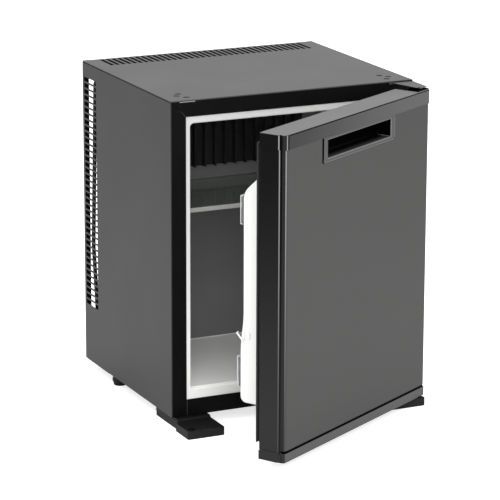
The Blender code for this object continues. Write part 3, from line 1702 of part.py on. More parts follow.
# Control box on the rear tray, with its mains inlet and the lead to the heater.
box_right = WIDTH - CONTROL_BOX_FROM_SIDE
box_left = box_right - CONTROL_BOX_WIDTH
box_back = DEPTH - CONTROL_BOX_FROM_BACK
box_front = box_back - CONTROL_BOX_DEPTH
box_floor = BASE_SHEET + GAP
control_box = block(
    "control_box",
    (box_left, box_front, box_floor),
    (box_right, box_back, CONTROL_BOX_TOP),
    cabinet,
    "black_plastic",
)
round_edges(control_box, CONTROL_BOX_EDGE)
inlet_x = (box_left + box_right) / 2
inlet_width, inlet_height, inlet_depth = INLET_SIZE
inlet = slab(
    "mains_inlet",
    [rectangle(
        inlet_x - inlet_width / 2,
        INLET_HEIGHT - inlet_height / 2,
        inlet_x + inlet_width / 2,
        INLET_HEIGHT + inlet_height / 2,
        INLET_CORNER,
    )],
    box_back + GAP,
    box_back + GAP + inlet_depth,
    cabinet,
    "black_plastic",
    "xz",
)
cut(
    inlet,
    slab(
        "inlet_socket",
        [rectangle(
            inlet_x - inlet_width / 2 + INLET_WALL,
            INLET_HEIGHT - inlet_height / 2 + INLET_WALL,
            inlet_x + inlet_width / 2 - INLET_WALL,
            INLET_HEIGHT + inlet_height / 2 - INLET_WALL,
            INLET_CORNER,
        )],
        box_back + INLET_WALL,
        box_back + inlet_depth + REACH,
        cabinet,
        plane="xz",
    ),
)
tube(
    "heater_lead",
    bent(
        [
            (heater_x, UNIT_PLANE, heater_low - GAP),
            (heater_x, UNIT_PLANE, heater_low - LEAD_DROP),
            (inlet_x, UNIT_PLANE, heater_low - LEAD_DROP),
            (inlet_x, UNIT_PLANE, CONTROL_BOX_TOP + GAP),
        ],
        LEAD_BEND,
    ),
    LEAD_RADIUS,
    cabinet,
    "rubber",
)

# Light and thermostat housing on the right-hand wall of the compartment.
control_right = mouth_right - GAP
control_left = control_right - CONTROL_DEPTH
control_back = CONTROL_FRONT + CONTROL_LENGTH
control_top = mouth_top - CONTROL_HEADROOM
control_bottom = control_top - CONTROL_HEIGHT
knob_y = CONTROL_FRONT + KNOB_FROM_FRONT
knob_z = (control_bottom + control_top) / 2
knob_axis = axis_empty("thermostat_knob_axis", (control_left, knob_y, knob_z), cabinet)
control = block(
    "control_housing",
    (control_left, CONTROL_FRONT, control_bottom),
    (control_right, control_back, control_top),
    cabinet,
    "white_plastic",
)
lens_back = control_back - LENS_FROM_BACK
lens_front = lens_back - LENS_LENGTH
cut(
    control,
    block(
        "control_hollow",
        (control_left + CONTROL_WALL, CONTROL_FRONT + CONTROL_WALL, control_bottom + CONTROL_WALL),
        (control_right + REACH, control_back - CONTROL_WALL, control_top - CONTROL_WALL),
        cabinet,
    ),
    block(
        "lens_window",
        (control_left - REACH, lens_front, knob_z - LENS_HEIGHT / 2),
        (control_left + 2 * CONTROL_WALL, lens_back, knob_z + LENS_HEIGHT / 2),
        cabinet,
    ),
    rod(
        "shaft_hole",
        (control_left - REACH, knob_y, knob_z),
        2 * REACH,
        KNOB_SHAFT + GAP,
        "x",
        cabinet,
        segments=16,
    ),
)
block(
    "lamp_lens",
    (control_left, lens_front + GAP, knob_z - LENS_HEIGHT / 2 + GAP),
    (control_left + CONTROL_WALL, lens_back - GAP, knob_z + LENS_HEIGHT / 2 - GAP),
    cabinet,
    "clear_plastic",
)
thermostat_left = control_left + CONTROL_WALL + GAP
thermostat_half = KNOB_RADIUS
block(
    "thermostat_body",
    (thermostat_left, knob_y - thermostat_half, knob_z - thermostat_half),
    (control_right, knob_y + thermostat_half, knob_z + thermostat_half),
    cabinet,
    "dark_grey_plastic",
)
knob_left = control_left - GAP - KNOB_DEPTH
knob = rod(
    "thermostat_knob",
    (knob_left, knob_y, knob_z),
    KNOB_DEPTH,
    KNOB_FACE_RADIUS,
    "x",
    knob_axis,
    "white_plastic",
    KNOB_RADIUS,
)
shaft_start = knob_left + KNOB_DEPTH / 2
join(
    knob,
    rod(
        "knob_shaft",
        (shaft_start, knob_y, knob_z),
        thermostat_left - GAP - shaft_start,
        KNOB_SHAFT,
        "x",
        knob_axis,
        segments=16,
    ),
    block(
        "knob_grip",
        (knob_left - KNOB_GRIP_PROUD, knob_y - KNOB_GRIP, knob_z - KNOB_GRIP_REACH),
        (knob_left + KNOB_DEPTH / 2, knob_y + KNOB_GRIP, knob_z + KNOB_GRIP_REACH),
        knob_axis,
    ),
)
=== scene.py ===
"""The looks of a small built-in refrigerator, dressed piece by piece in the order it is put together."""
import json
from math import cos, pi, radians, sin

import bmesh
import bpy
from mathutils import Matrix, Vector

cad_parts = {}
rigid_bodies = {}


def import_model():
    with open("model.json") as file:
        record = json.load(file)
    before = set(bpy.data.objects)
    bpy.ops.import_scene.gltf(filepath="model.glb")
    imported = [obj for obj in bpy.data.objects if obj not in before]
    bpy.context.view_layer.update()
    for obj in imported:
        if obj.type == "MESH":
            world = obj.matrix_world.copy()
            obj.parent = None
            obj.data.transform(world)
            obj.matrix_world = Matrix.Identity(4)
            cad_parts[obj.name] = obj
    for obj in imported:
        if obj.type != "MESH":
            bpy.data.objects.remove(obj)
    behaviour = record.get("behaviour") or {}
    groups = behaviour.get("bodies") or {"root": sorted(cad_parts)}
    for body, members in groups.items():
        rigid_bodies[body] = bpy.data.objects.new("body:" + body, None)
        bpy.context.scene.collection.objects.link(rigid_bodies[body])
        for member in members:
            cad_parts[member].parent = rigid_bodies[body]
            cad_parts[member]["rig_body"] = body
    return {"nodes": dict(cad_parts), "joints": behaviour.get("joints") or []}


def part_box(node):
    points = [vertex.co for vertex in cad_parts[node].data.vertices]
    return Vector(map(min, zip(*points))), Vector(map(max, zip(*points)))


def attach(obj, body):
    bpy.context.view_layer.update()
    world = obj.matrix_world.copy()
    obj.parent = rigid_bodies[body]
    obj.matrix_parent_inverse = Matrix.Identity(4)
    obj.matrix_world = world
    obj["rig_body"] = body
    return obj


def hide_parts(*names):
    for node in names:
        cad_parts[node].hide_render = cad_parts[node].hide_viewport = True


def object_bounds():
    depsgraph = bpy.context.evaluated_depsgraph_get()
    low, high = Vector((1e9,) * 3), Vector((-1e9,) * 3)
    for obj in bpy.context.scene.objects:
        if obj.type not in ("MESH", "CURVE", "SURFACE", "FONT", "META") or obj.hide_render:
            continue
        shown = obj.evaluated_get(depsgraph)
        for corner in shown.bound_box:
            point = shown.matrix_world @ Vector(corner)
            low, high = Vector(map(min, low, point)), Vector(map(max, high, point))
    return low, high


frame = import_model()
packed_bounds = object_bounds()

# Side panels. Each is one folded steel sheet with a hemmed front edge, a flange bent in at the back and
# punched cooling slots, screwed to the base. The graphite powder coat has a fine orange peel; on the sides
# its tone is made a little darker than on the top, as painted shade.


class Value:
    """One socket of a material. Sums and products on it add Math nodes."""

    def __init__(self, tree, socket=None):
        self.tree = tree
        self.socket = socket

    def node(self, kind, settings=None, sockets=None, output=0):
        """Adds any node: its settings first, then the values or links of its sockets."""
        made = self.tree.nodes.new("ShaderNode" + kind)
        for name, setting in (settings or {}).items():
            setattr(made, name, setting)
        for name, value in (sockets or {}).items():
            if isinstance(value, Value):
                self.tree.links.new(value.socket, made.inputs[name])
            else:
                made.inputs[name].default_value = value
        return Value(self.tree, made.outputs[output])

    def math(self, operation, first, second):
        return self.node("Math", {"operation": operation}, {0: first, 1: second})

    def __add__(self, other):
        return self.math("ADD", self, other)

    def __radd__(self, other):
        return self.math("ADD", other, self)

    def __sub__(self, other):
        return self.math("SUBTRACT", self, other)

    def __rsub__(self, other):
        return self.math("SUBTRACT", other, self)

    def __mul__(self, other):
        return self.math("MULTIPLY", self, other)

    def __rmul__(self, other):
        return self.math("MULTIPLY", other, self)


def new_finish(name, **constants):
    """A Principled material with the sockets that are the same all over, and its place on the piece."""
    material = bpy.data.materials.new(name)
    material.use_nodes = True
    shader = material.node_tree.nodes["Principled BSDF"]
    for socket, value in constants.items():
        shader.inputs[socket.replace("_", " ")].default_value = value
    return material, Value(material.node_tree).node("TexCoord", output="Object")


def noise(place, size, detail=2.0):
    """Soft noise whose features are about this size in metres."""
    return place.node("TexNoise", {}, {"Vector": place, "Scale": 1.0 / size, "Detail": detail})


def tint(colour, level=1.0):
    """A colour from its three channels, or a grey from one number, made darker or lighter by a level."""
    channels = colour if isinstance(colour, tuple) else (colour,) * 3
    return tuple(channel * level for channel in channels)


def between(share, dark, light):
    """A colour that goes from dark to light with a share from 0 to 1."""
    ends = {6: (*tint(dark), 1.0), 7: (*tint(light), 1.0)}
    return share.node("Mix", {"data_type": "RGBA"}, {0: share, **ends}, 2)


def apply_finish(material, colour, roughness, height, depth):
    """Joins colour, roughness and a relief of some depth in metres to the shader."""
    tree = material.node_tree
    shader = tree.nodes["Principled BSDF"]
    relief = height.node("Bump", {}, {"Strength": 1.0, "Distance": depth, "Height": height})
    for socket, value in (("Base Color", colour), ("Roughness", roughness), ("Normal", relief)):
        tree.links.new(value.socket, shader.inputs[socket])
    return material


def powder_coat(name, colour, roughness, specular=0.5):
    """Baked powder paint: an even tone with a fine orange peel and a faint speckle."""
    material, place = new_finish(name, Specular_IOR_Level=specular)
    peel = noise(place, 0.0016)
    speckle = noise(place, 0.0005, 0.0)
    cloud = noise(place, 0.12, 3.0)
    tone = between(cloud * 0.7 + speckle * 0.3, tint(colour, 0.95), tint(colour, 1.05))
    return apply_finish(material, tone, roughness - 0.04 + 0.08 * cloud, peel + speckle * 0.25, 0.000025)


MERGE = 0.000004
NEARLY_FLAT = radians(0.4)


def copy_of(node):
    """A node's solid as a bmesh with its triangles joined and its flat faces whole again."""
    bm = bmesh.new()
    bm.from_mesh(frame["nodes"][node].data)
    bmesh.ops.remove_doubles(bm, verts=bm.verts, dist=MERGE)
    bmesh.ops.dissolve_limit(bm, angle_limit=NEARLY_FLAT, verts=bm.verts, edges=bm.edges)
    return bm


def bevel(bm, geom, width, segments, affect="EDGES", clamp=False):
    """Rounds edges or corners."""
    bmesh.ops.bevel(
        bm, geom=geom, offset=width, segments=segments, profile=0.5, affect=affect, clamp_overlap=clamp,
        material=-1
    )


def round_edges(bm, width, segments=2, angle=30, chosen=lambda edge: True):
    """Rounds the edges sharper than the angle, which casting, folding and spraying never leave."""
    bevel(bm, [
        edge for edge in bm.edges
        if edge.is_manifold and edge.calc_face_angle() > radians(angle) and chosen(edge)
    ], width, segments)


def set_down(name, bm, material, body, *nodes, slot=None, sharp=50):
    """Makes the finished piece, puts it on its body and lets it stand for its nodes."""
    mesh = bpy.data.meshes.new(name)
    bm.to_mesh(mesh)
    bm.free()
    obj = bpy.data.objects.new(name, mesh)
    bpy.context.scene.collection.objects.link(obj)
    mesh.materials.append(material)
    mesh.shade_smooth()
    mesh.set_sharp_from_angle(angle=radians(sharp))
    obj.modifiers.new("Even shading", "WEIGHTED_NORMAL").keep_sharp = True
    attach(obj, body)
    if nodes:
        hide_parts(*nodes)
    return obj


def dress(node, material, edge=0.0003, segments=2, angle=30):
    """A node's own shape with rounded edges and its finish."""
    bm = copy_of(node)
    round_edges(bm, edge, segments, angle)
    return set_down(node + "_dressed", bm, material, frame["nodes"][node]["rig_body"], node)


def paint_faces(obj, material, chosen, view=Matrix()):
    """Gives the faces that are chosen by their centre and normal, seen through a matrix, another material."""
    obj.data.materials.append(material)
    last = len(obj.data.materials) - 1
    turn = view.to_3x3()
    for face in obj.data.polygons:
        if chosen(view @ face.center, turn @ face.normal):
            face.material_index = last


def cut_across(bm, axis, places):
    """Cuts the faces along planes square to one axis."""
    normal = Vector((0.0, 0.0, 0.0))
    normal[axis] = 1.0
    for place in places:
        everything = bm.verts[:] + bm.edges[:] + bm.faces[:]
        bmesh.ops.bisect_plane(bm, geom=everything, dist=0.000001, plane_co=normal * place, plane_no=normal)


def rectangle(low, high):
    """The four corners between two, in order, on two axes."""
    return (low[0], low[1]), (high[0], low[1]), (high[0], high[1]), (low[0], high[1])


def punched_sheet(bm, corners, slots, axes):
    """A flat face between four corners without its slots, each given by two corners on two axes."""
    bm.faces.new([bm.verts.new(corner) for corner in corners])
    for number, axis in enumerate(axes):
        cut_across(bm, axis, sorted({corner[number] for slot in slots for corner in slot}))
    punched = []
    for face in bm.faces:
        centre = face.calc_center_median()
        first, second = (centre[axis] for axis in axes)
        if any(low[0] < first < high[0] and low[1] < second < high[1] for low, high in slots):
            punched.append(face)
    bmesh.ops.delete(bm, geom=punched, context="FACES")


def grow(bm, ring):
    """Extrudes a row of edges and returns the new row and its points."""
    grown = bmesh.ops.extrude_edge_only(bm, edges=ring)["geom"]
    verts = [item for item in grown if isinstance(item, bmesh.types.BMVert)]
    edges = [
        item for item in grown if isinstance(item, bmesh.types.BMEdge) and set(item.verts) <= set(verts)
    ]
    return edges, verts


def fold(bm, axis, place, steps, reach=(-1.0, 1.0)):
    """Folds a sheet on from its edge at a place on an axis; reach limits that edge from left to right."""
    row = [
        edge for edge in bm.edges
        if edge.is_boundary
        and all(abs(vert.co[axis] - place) < 0.000002 for vert in edge.verts)
        and reach[0] < (edge.verts[0].co.x + edge.verts[1].co.x) / 2 < reach[1]
    ]
    for step in steps:
        row, verts = grow(bm, row)
        bmesh.ops.translate(bm, vec=step, verts=verts)


SHEET = 0.0010


def thicken_sheet(bm, outside, bend):
    """Rounds a sheet's folds and gives it its thickness on the inner side."""
    bmesh.ops.recalc_face_normals(bm, faces=bm.faces)
    widest = max(bm.faces, key=lambda face: face.calc_area())
    if widest.normal.dot(outside) < 0.0:
        bmesh.ops.reverse_faces(bm, faces=bm.faces)
    round_edges(bm, bend, 3, 60)
    bmesh.ops.solidify(bm, geom=bm.faces, thickness=SHEET)


GRAPHITE = (0.0350, 0.0350, 0.0343)
COAT = (0.42, 0.37)
graphite_paint = powder_coat("graphite_powder_coat", GRAPHITE, *COAT)
# The sides carry the same graphite coat, darkened as painted shade.
side_paint_painted_shade = powder_coat("side_powder_coat_painted_shade", tint(GRAPHITE, 0.72), *COAT)
# A near-black for the insides of sheets, for seams and for gaps: painted shade.
shade_black_paint = powder_coat("painted_shade_black", 0.003, 0.6, 0.15)
SLOT_PITCH = 0.00976
SLOT_HEIGHT = 0.0070
SLOT_LENGTH = 0.0485
SLOT_BACK_MARGIN = 0.0070
SIDE_SLOTS = 38
SIDE_SLOT_DROP = 0.0242
HEM_WIDTH = 0.0019
HEM_DEPTH = 0.0110
REAR_FLANGE = 0.0105
PANEL_BEND = 0.0008
SIDE_TRIM = 0.0006
HANDS = (("left", 1.0), ("right", -1.0))
slot_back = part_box("side_panel_left")[1].y - SLOT_BACK_MARGIN
slot_front = slot_back - SLOT_LENGTH
first_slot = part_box("top_panel")[1].z - SIDE_SLOT_DROP
side_slots = [
    ((slot_front, top - SLOT_HEIGHT), (slot_back, top))
    for top in (first_slot - SLOT_PITCH * row for row in range(SIDE_SLOTS))
]
for hand, inward in HANDS:
    low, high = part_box("side_panel_" + hand)
    middle_z = (low.z + high.z) / 2
    inner_half = (high.z - low.z) / 2 - SHEET / 2
    wall = low.x if inward > 0.0 else high.x
    outline = rectangle((low.y, low.z), (high.y, high.z - SIDE_TRIM))
    bm = bmesh.new()
    punched_sheet(bm, [(wall, *corner) for corner in outline], side_slots, (1, 2))
    fold(bm, 1, low.y, ((inward * HEM_WIDTH, 0.0, 0.0), (0.0, HEM_DEPTH, 0.0)))
    fold(bm, 1, high.y, ((inward * REAR_FLANGE, 0.0, 0.0),))
    thicken_sheet(bm, Vector((-inward, 0.0, 0.0)), PANEL_BEND)
    panel = set_down("side_panel_%s_folded" % hand, bm, side_paint_painted_shade, "cabinet", "side_panel_" + hand)
    # The panel's inner faces, the slot walls and the inside of the rear flange are painted near-black:
    # painted shade seen through the slots.
    paint_faces(panel, shade_black_paint, lambda centre, normal: (
        (normal.x * inward > 0.5 or normal.y < -0.5 or abs(normal.z) > 0.5)
        and centre.y > low.y + HEM_DEPTH + SHEET and abs(centre.z - middle_z) < inner_half
    ))

# Base pan and rear tray. Both are pressed steel between the side panels; the foam body stands on the pan
# and the cooling unit on the tray.
black_paint = powder_coat("black_stove_enamel", 0.010, 0.35, 0.35)
dress("base_pan", graphite_paint, 0.0002)
dress("rear_base_tray", black_paint)

# Feet. The two front ones are moulded blocks that also carry the door's end, with a hole for the screw
# that fixes the refrigerator in its niche; the two rear ones are turned pads pressed into the pan.


def moulded_plastic(name, colour, roughness, grain, depth, specular=0.5, spread=0.06):
    """Injection-moulded plastic with the fine grain of a spark-eroded mould."""
    material, place = new_finish(name, Specular_IOR_Level=specular)
    texture = noise(place, grain, 3.0)
    flow = noise(place, 0.05)
    tone = between(flow, tint(colour, 1.0 - spread), tint(colour, 1.0 + spread))
    return apply_finish(material, tone, roughness - 0.05 + 0.1 * flow, texture, depth)


RIGHTWARD = Vector((1.0, 0.0, 0.0))
UPRIGHT = Vector((0.0, 0.0, 1.0))


def spun(bm, profile, centre, axis, steps=48):
    """Turns a profile of (place along the axis, radius) points about a line through the centre."""
    side = UPRIGHT if abs(axis.z) < 0.5 else RIGHTWARD
    points = [bm.verts.new(centre + axis * along + side * radius) for along, radius in profile]
    edges = [bm.edges.new(pair) for pair in zip(points, points[1:])]
    before = set(bm.faces)
    bmesh.ops.spin(
        bm, geom=points + edges, cent=centre, axis=axis, angle=2 * pi, steps=steps, use_merge=True
    )
    made = [face for face in bm.faces if face not in before]
    bmesh.ops.remove_doubles(bm, verts=list({vert for face in made for vert in face.verts}), dist=MERGE)
    bmesh.ops.recalc_face_normals(bm, faces=[face for face in bm.faces if face not in before])


def ring_section(inner, outer, height):
    """The closed profile of a flat ring."""
    return (0.0, inner), (0.0, outer), (height, outer), (height, inner), (0.0, inner)


foot_plastic = moulded_plastic("foot_plastic", 0.010, 0.5, 0.0008, 0.00006, 0.2)
hole_shade_black = moulded_plastic("hole_painted_shade", 0.0006, 0.6, 0.0008, 0.00004, 0.0)
foot_top_painted_shade = moulded_plastic("foot_top_painted_shade", 0.0050, 0.6, 0.0006, 0.0001, 0.12)
EYELET_PLACE = (0.0090, 0.0075)
EYELET_RING = ring_section(0.0026, 0.0046, 0.0003)
FOOT_TOP = 0.0130
FOOT_EDGE = 0.0006
PAD_FOOT = 0.80
PAD_STEPS = ((0.85, 0.06), (0.86, 0.30), (0.98, 0.34), (1.0, 0.40), (1.0, 0.62), (0.80, 0.80), (0.30, 1.0))
for hand, inward in HANDS:
    node = "front_foot_" + hand
    low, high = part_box(node)
    bm = copy_of(node)
    round_edges(bm, FOOT_EDGE, 3)
    foot = set_down(node + "_moulded", bm, foot_plastic, "cabinet", node)
    # The feet's top faces are painted darker: painted shade under the cabinet.
    paint_faces(foot, foot_top_painted_shade, lambda centre, normal: normal.z > 0.9)
    outer = low.x if inward > 0.0 else high.x
    eyelet = Vector((outer + inward * EYELET_PLACE[0], low.y + EYELET_PLACE[1], low.z + FOOT_TOP))
    bm = bmesh.new()
    spun(bm, EYELET_RING, eyelet, UPRIGHT, 32)
    # The near-black ring round the screw hole is painted shade that makes the hole read larger and darker.
    set_down(node + "_eyelet", bm, hole_shade_black, "cabinet", slot="black_plastic")
    low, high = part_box("rear_foot_" + hand)
    centre = (low + high) / 2
    pad_radius = (high.x - low.x) / 2
    pad_height = high.z - low.z
    bm = bmesh.new()
    bmesh.ops.create_circle(bm, cap_ends=False, radius=pad_radius * PAD_FOOT, segments=48)
    ring = bm.edges[:]
    share, level = PAD_FOOT, 0.0
    for next_share, next_level in PAD_STEPS:
        ring, verts = grow(bm, ring)
        widening = next_share / share
        bmesh.ops.scale(bm, vec=(widening, widening, 1.0), verts=verts)
        bmesh.ops.translate(bm, vec=(0.0, 0.0, (next_level - level) * pad_height), verts=verts)
        share, level = next_share, next_level
    bmesh.ops.holes_fill(bm, edges=bm.edges)
    bmesh.ops.recalc_face_normals(bm, faces=bm.faces)
    bmesh.ops.translate(bm, vec=(centre.x, centre.y, low.z), verts=bm.verts)
    set_down("rear_foot_%s_turned" % hand, bm, foot_plastic, "cabinet", "rear_foot_" + hand)

# Front frame. Four black moulded bars, mitred at the top and butted below, that hide the sheet edges and
# hold the lining's flange.
frame_plastic = moulded_plastic("frame_plastic", (0.0030, 0.0030, 0.0033), 0.36, 0.0009, 0.00003, 0.11)
for node in ("frame_stile_left", "frame_stile_right", "frame_rail_top"):
    dress(node, frame_plastic, 0.00035)
lower_rail = dress("frame_rail_bottom", frame_plastic, 0.0008, 3)
rail_highlight_plastic = moulded_plastic("frame_painted_highlight", 0.030, 0.36, 0.0009, 0.00003, 0.3)
# A light grey on the bottom rail's left end faces is a painted highlight on its joint with the stile.
paint_faces(lower_rail, rail_highlight_plastic, lambda centre, normal: normal.x < -0.25 and normal.y < -0.1)

# Inner lining. One vacuum-formed sheet of white plastic: a flange behind the frame, a rolled mouth, deep
# rounded corners, a sill in the floor that keeps drips in, and a moulded ledge on each side for the shelf.


def white_sheet(name, colour, roughness):
    """Vacuum-formed white plastic: glossy, with the slow waves of a drawn sheet."""
    material, place = new_finish(name, Specular_IOR_Level=0.5, Coat_Weight=0.15, Coat_Roughness=0.12)
    wave = noise(place, 0.06, 1.0)
    fine = noise(place, 0.0012, 1.0)
    tone = between(wave, tint(colour, 0.988), tint(colour, 1.012))
    return apply_finish(material, tone, roughness - 0.03 + 0.06 * wave, wave + fine * 0.05, 0.0002)


def light_and_shade_gradient(name, top_colour, foot_colour, roughness, grain, depth, specular, metallic=0.0, axis=2):
    """A moulding whose colour goes from its foot to its top, or on another axis from left to right: painted
    light and shade.
    """
    material, place = new_finish(name, Metallic=metallic, Specular_IOR_Level=specular)
    level = place.node("SeparateXYZ", {}, {0: place}, axis)
    share = level.node("MapRange", {"interpolation_type": "SMOOTHSTEP"}, {
        "Value": level, "From Min": packed_bounds[0][axis], "From Max": packed_bounds[1][axis]
    })
    texture = noise(place, grain, 3.0)
    cloud = noise(place, 0.05)
    tone = between(share + 0.06 * (cloud - 0.5), foot_colour, top_colour)
    return apply_finish(material, tone, roughness - 0.04 + 0.08 * cloud, texture, depth)


def flat_outline(bm, low, high, radius):
    """A flat face in the x-z plane of its low corner, with its corners rounded."""
    outline = rectangle((low.x, low.z), (high.x, high.z))
    corners = [bm.verts.new((x, low.y, z)) for x, z in outline]
    bm.faces.new(corners)
    bevel(bm, corners, radius, 8, "VERTICES")
    return max(bm.faces, key=lambda face: face.calc_area())


def rounded_box(bm, low, high, radius, segments=3):
    """A block between two corners with all its edges rounded."""
    low, high = Vector(low), Vector(high)
    verts = bmesh.ops.create_cube(bm, size=1.0)["verts"]
    bmesh.ops.scale(bm, vec=high - low, verts=verts)
    bmesh.ops.translate(bm, vec=(low + high) / 2, verts=verts)
    bevel(bm, list({edge for vert in verts for edge in vert.link_edges}), radius, segments, clamp=True)


LINER_SHEET = 0.0020
MOUTH_SIDE = 0.0080
MOUTH_SILL = 0.0153
MOUTH_HEAD = 0.0111
MOUTH_CORNER = 0.006
MOUTH_ROLL = 0.0024
BACK_ROLL = 0.0060
SILL_DEPTH = 0.066
SILL_RISE = 0.0014
SILL_INSET = 0.0005
SILL_START = MOUTH_ROLL + 0.002
LEDGE_REACH = 0.004
LEDGE_HEIGHT = 0.005
LEDGE_SETBACK = 0.012
SHELF_GAP = 0.0003
flange_low, flange_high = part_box("inner_liner")
stile_left, stile_right = (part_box("frame_stile_" + hand) for hand, inward in HANDS)
sill_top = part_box("frame_rail_bottom")[1].z
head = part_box("frame_rail_top")[0].z
mouth_low = Vector((stile_left[1].x + MOUTH_SIDE, flange_low.y, sill_top + MOUTH_SILL))
mouth_high = Vector((stile_right[0].x - MOUTH_SIDE, flange_high.y, head - MOUTH_HEAD))
mouth_middle = (mouth_low + mouth_high) / 2
mouth_size = mouth_high - mouth_low
flange_size = flange_high - flange_low
bm = bmesh.new()
opening = flat_outline(bm, mouth_low, mouth_high, MOUTH_CORNER)
mouth_ring = list(opening.edges)
bmesh.ops.delete(bm, geom=[opening], context="FACES_ONLY")
back_ring, back_verts = grow(bm, mouth_ring)
bmesh.ops.translate(bm, vec=(0.0, flange_size.y - LINER_SHEET, 0.0), verts=back_verts)
outer_verts = grow(bm, mouth_ring)[1]
widening = (flange_size.x / mouth_size.x, 1.0, flange_size.z / mouth_size.z)
bmesh.ops.scale(bm, vec=widening, space=Matrix.Translation(-mouth_middle), verts=outer_verts)
flange_rise = (flange_low.z + flange_high.z) / 2 - mouth_middle.z
bmesh.ops.translate(bm, vec=(0.0, 0.0, flange_rise), verts=outer_verts)
bmesh.ops.contextual_create(bm, geom=back_ring)
bevel(bm, back_ring, BACK_ROLL, 4)
bevel(bm, mouth_ring, MOUTH_ROLL, 4)
bmesh.ops.recalc_face_normals(bm, faces=bm.faces)
back_face = max(bm.faces, key=lambda face: face.calc_center_median().y)
if back_face.normal.y > 0.0:
    bmesh.ops.reverse_faces(bm, faces=bm.faces)
bmesh.ops.solidify(bm, geom=bm.faces, thickness=LINER_SHEET)
shelf_low, shelf_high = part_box("shelf_glass")
ledge_top = shelf_low.z - SHELF_GAP
for wall, reach in ((mouth_low.x, LEDGE_REACH), (mouth_high.x, -LEDGE_REACH)):
    left, right = sorted((wall - reach / 4, wall + reach))
    rounded_box(
        bm,
        (left, shelf_low.y + LEDGE_SETBACK, ledge_top - LEDGE_HEIGHT),
        (right, shelf_high.y - LEDGE_SETBACK, ledge_top),
        0.0018,
    )
rounded_box(
    bm,
    (mouth_low.x + SILL_INSET, mouth_low.y + SILL_START, mouth_low.z - LINER_SHEET / 2),
    (mouth_high.x - SILL_INSET, mouth_low.y + SILL_DEPTH, mouth_low.z + SILL_RISE),
    0.0012,
)
white_liner = white_sheet("white_lining", (0.91, 0.91, 0.90), 0.32)
white_rim_painted_shade = light_and_shade_gradient("white_rim_painted_shade", (0.57, 0.57, 0.565), (0.93, 0.93, 0.92), 0.32, 0.0008, 0.00001, 0.5)
liner = set_down("inner_liner_formed", bm, white_liner, "cabinet", "inner_liner")
# The lining's front faces are painted darker towards the top: painted shade on the mouth.
paint_faces(liner, white_rim_painted_shade, lambda centre, normal: normal.y < -0.7 and centre.y < flange_low.y + 0.0010)

# Compartment back: a dark moulded cover over the rear wall, and in front of it the finned aluminium plate
# that takes the heat out of the air. Both are screwed through the lining.
cover_plastic = moulded_plastic("cover_plastic", (0.170, 0.170, 0.172), 0.36, 0.0010, 0.00006)
dress("compartment_back_cover", cover_plastic)
black_aluminium, place = new_finish("black_anodised_aluminium", Metallic=0.6)
lines = place.node("Mapping", {}, {"Vector": place, "Scale": (4.0, 4.0, 0.25)})
streaks = lines.node("TexNoise", {}, {"Vector": lines, "Scale": 260.0, "Detail": 4.0})
tone = between(
    streaks * 0.6 + noise(place, 0.04, 3.0) * 0.4,
    *(tint((0.028, 0.028, 0.030), level) for level in (0.86, 1.14))
)
apply_finish(black_aluminium, tone, 0.42 + 0.16 * (streaks - 0.5), streaks, 0.00002)
dress("evaporator_plate", black_aluminium, 0.00025)

# Insulation. Rigid foam is blown between the linings and the sheets of cabinet and door; nothing of it
# shows once they are closed. It keeps its own solids and gets a yellowish, porous look.
foam, place = new_finish("rigid_foam")
bubbles = place.node("TexVoronoi", {}, {"Vector": place, "Scale": 700.0})
tone = between(noise(place, 0.05, 3.0), (0.62, 0.54, 0.30), (0.80, 0.73, 0.50))
apply_finish(foam, tone, 0.92 - 0.1 * bubbles, bubbles, 0.0003)
for node in ("cabinet_insulation", "door_insulation"):
    frame["nodes"][node].material_slots[0].material = foam

# Back plate. A flat steel sheet closes the foam; it has pressed beads against drumming and is riveted
# along both sides with zinc-plated rivets.
BEAD_WIDTH = 0.007
BEAD_RISE = 0.0006
BEAD_MARGIN = 0.03
BEADS = 3
plate_low, plate_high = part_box("back_plate")
bead_pitch = (plate_high.x - plate_low.x) / (BEADS + 1)
bm = copy_of("back_plate")
round_edges(bm, 0.0002)
for number in range(1, BEADS + 1):
    bead_x = plate_low.x + number * bead_pitch
    rounded_box(
        bm,
        (bead_x - BEAD_WIDTH / 2, plate_high.y - BEAD_RISE, plate_low.z + BEAD_MARGIN),
        (bead_x + BEAD_WIDTH / 2, plate_high.y + BEAD_RISE, plate_high.z - BEAD_MARGIN),
        BEAD_RISE * 0.9,
    )
set_down("back_plate_dressed", bm, graphite_paint, "cabinet", "back_plate")
zinc, place = new_finish("zinc_plated_steel", Metallic=0.9)
spangle = place.node("TexVoronoi", {"feature": "F1"}, {"Vector": place, "Scale": 160.0})
dull = noise(place, 0.01, 3.0)
tone = between(spangle * 0.5 + dull * 0.5, (0.42, 0.42, 0.41), (0.66, 0.66, 0.65))
apply_finish(zinc, tone, 0.28 + 0.2 * dull, spangle, 0.00002)
RIVET_RADIUS = 0.0026
RIVET_RISE = 0.0011
RIVET_MARGIN = 0.0200
RIVET_SEAT = 0.0001
RIVET_LEVELS = (0.12, 0.37, 0.62, 0.87)
rivet = [
    (RIVET_RISE * rise, RIVET_RADIUS * share)
    for rise, share in ((0.0, 1.0), (0.4, 1.0), (0.8, 0.7), (1.0, 0.3), (1.0, 0.0))
]
bm = bmesh.new()
for x in (plate_low.x + RIVET_MARGIN, plate_high.x - RIVET_MARGIN):
    for level in RIVET_LEVELS:
        z = plate_low.z + level * (plate_high.z - plate_low.z)
        spun(bm, rivet, Vector((x, plate_high.y - RIVET_SEAT, z)), Vector((0.0, 1.0, 0.0)), 20)
set_down("back_plate_rivets", bm, zinc, "cabinet", slot="zinc")

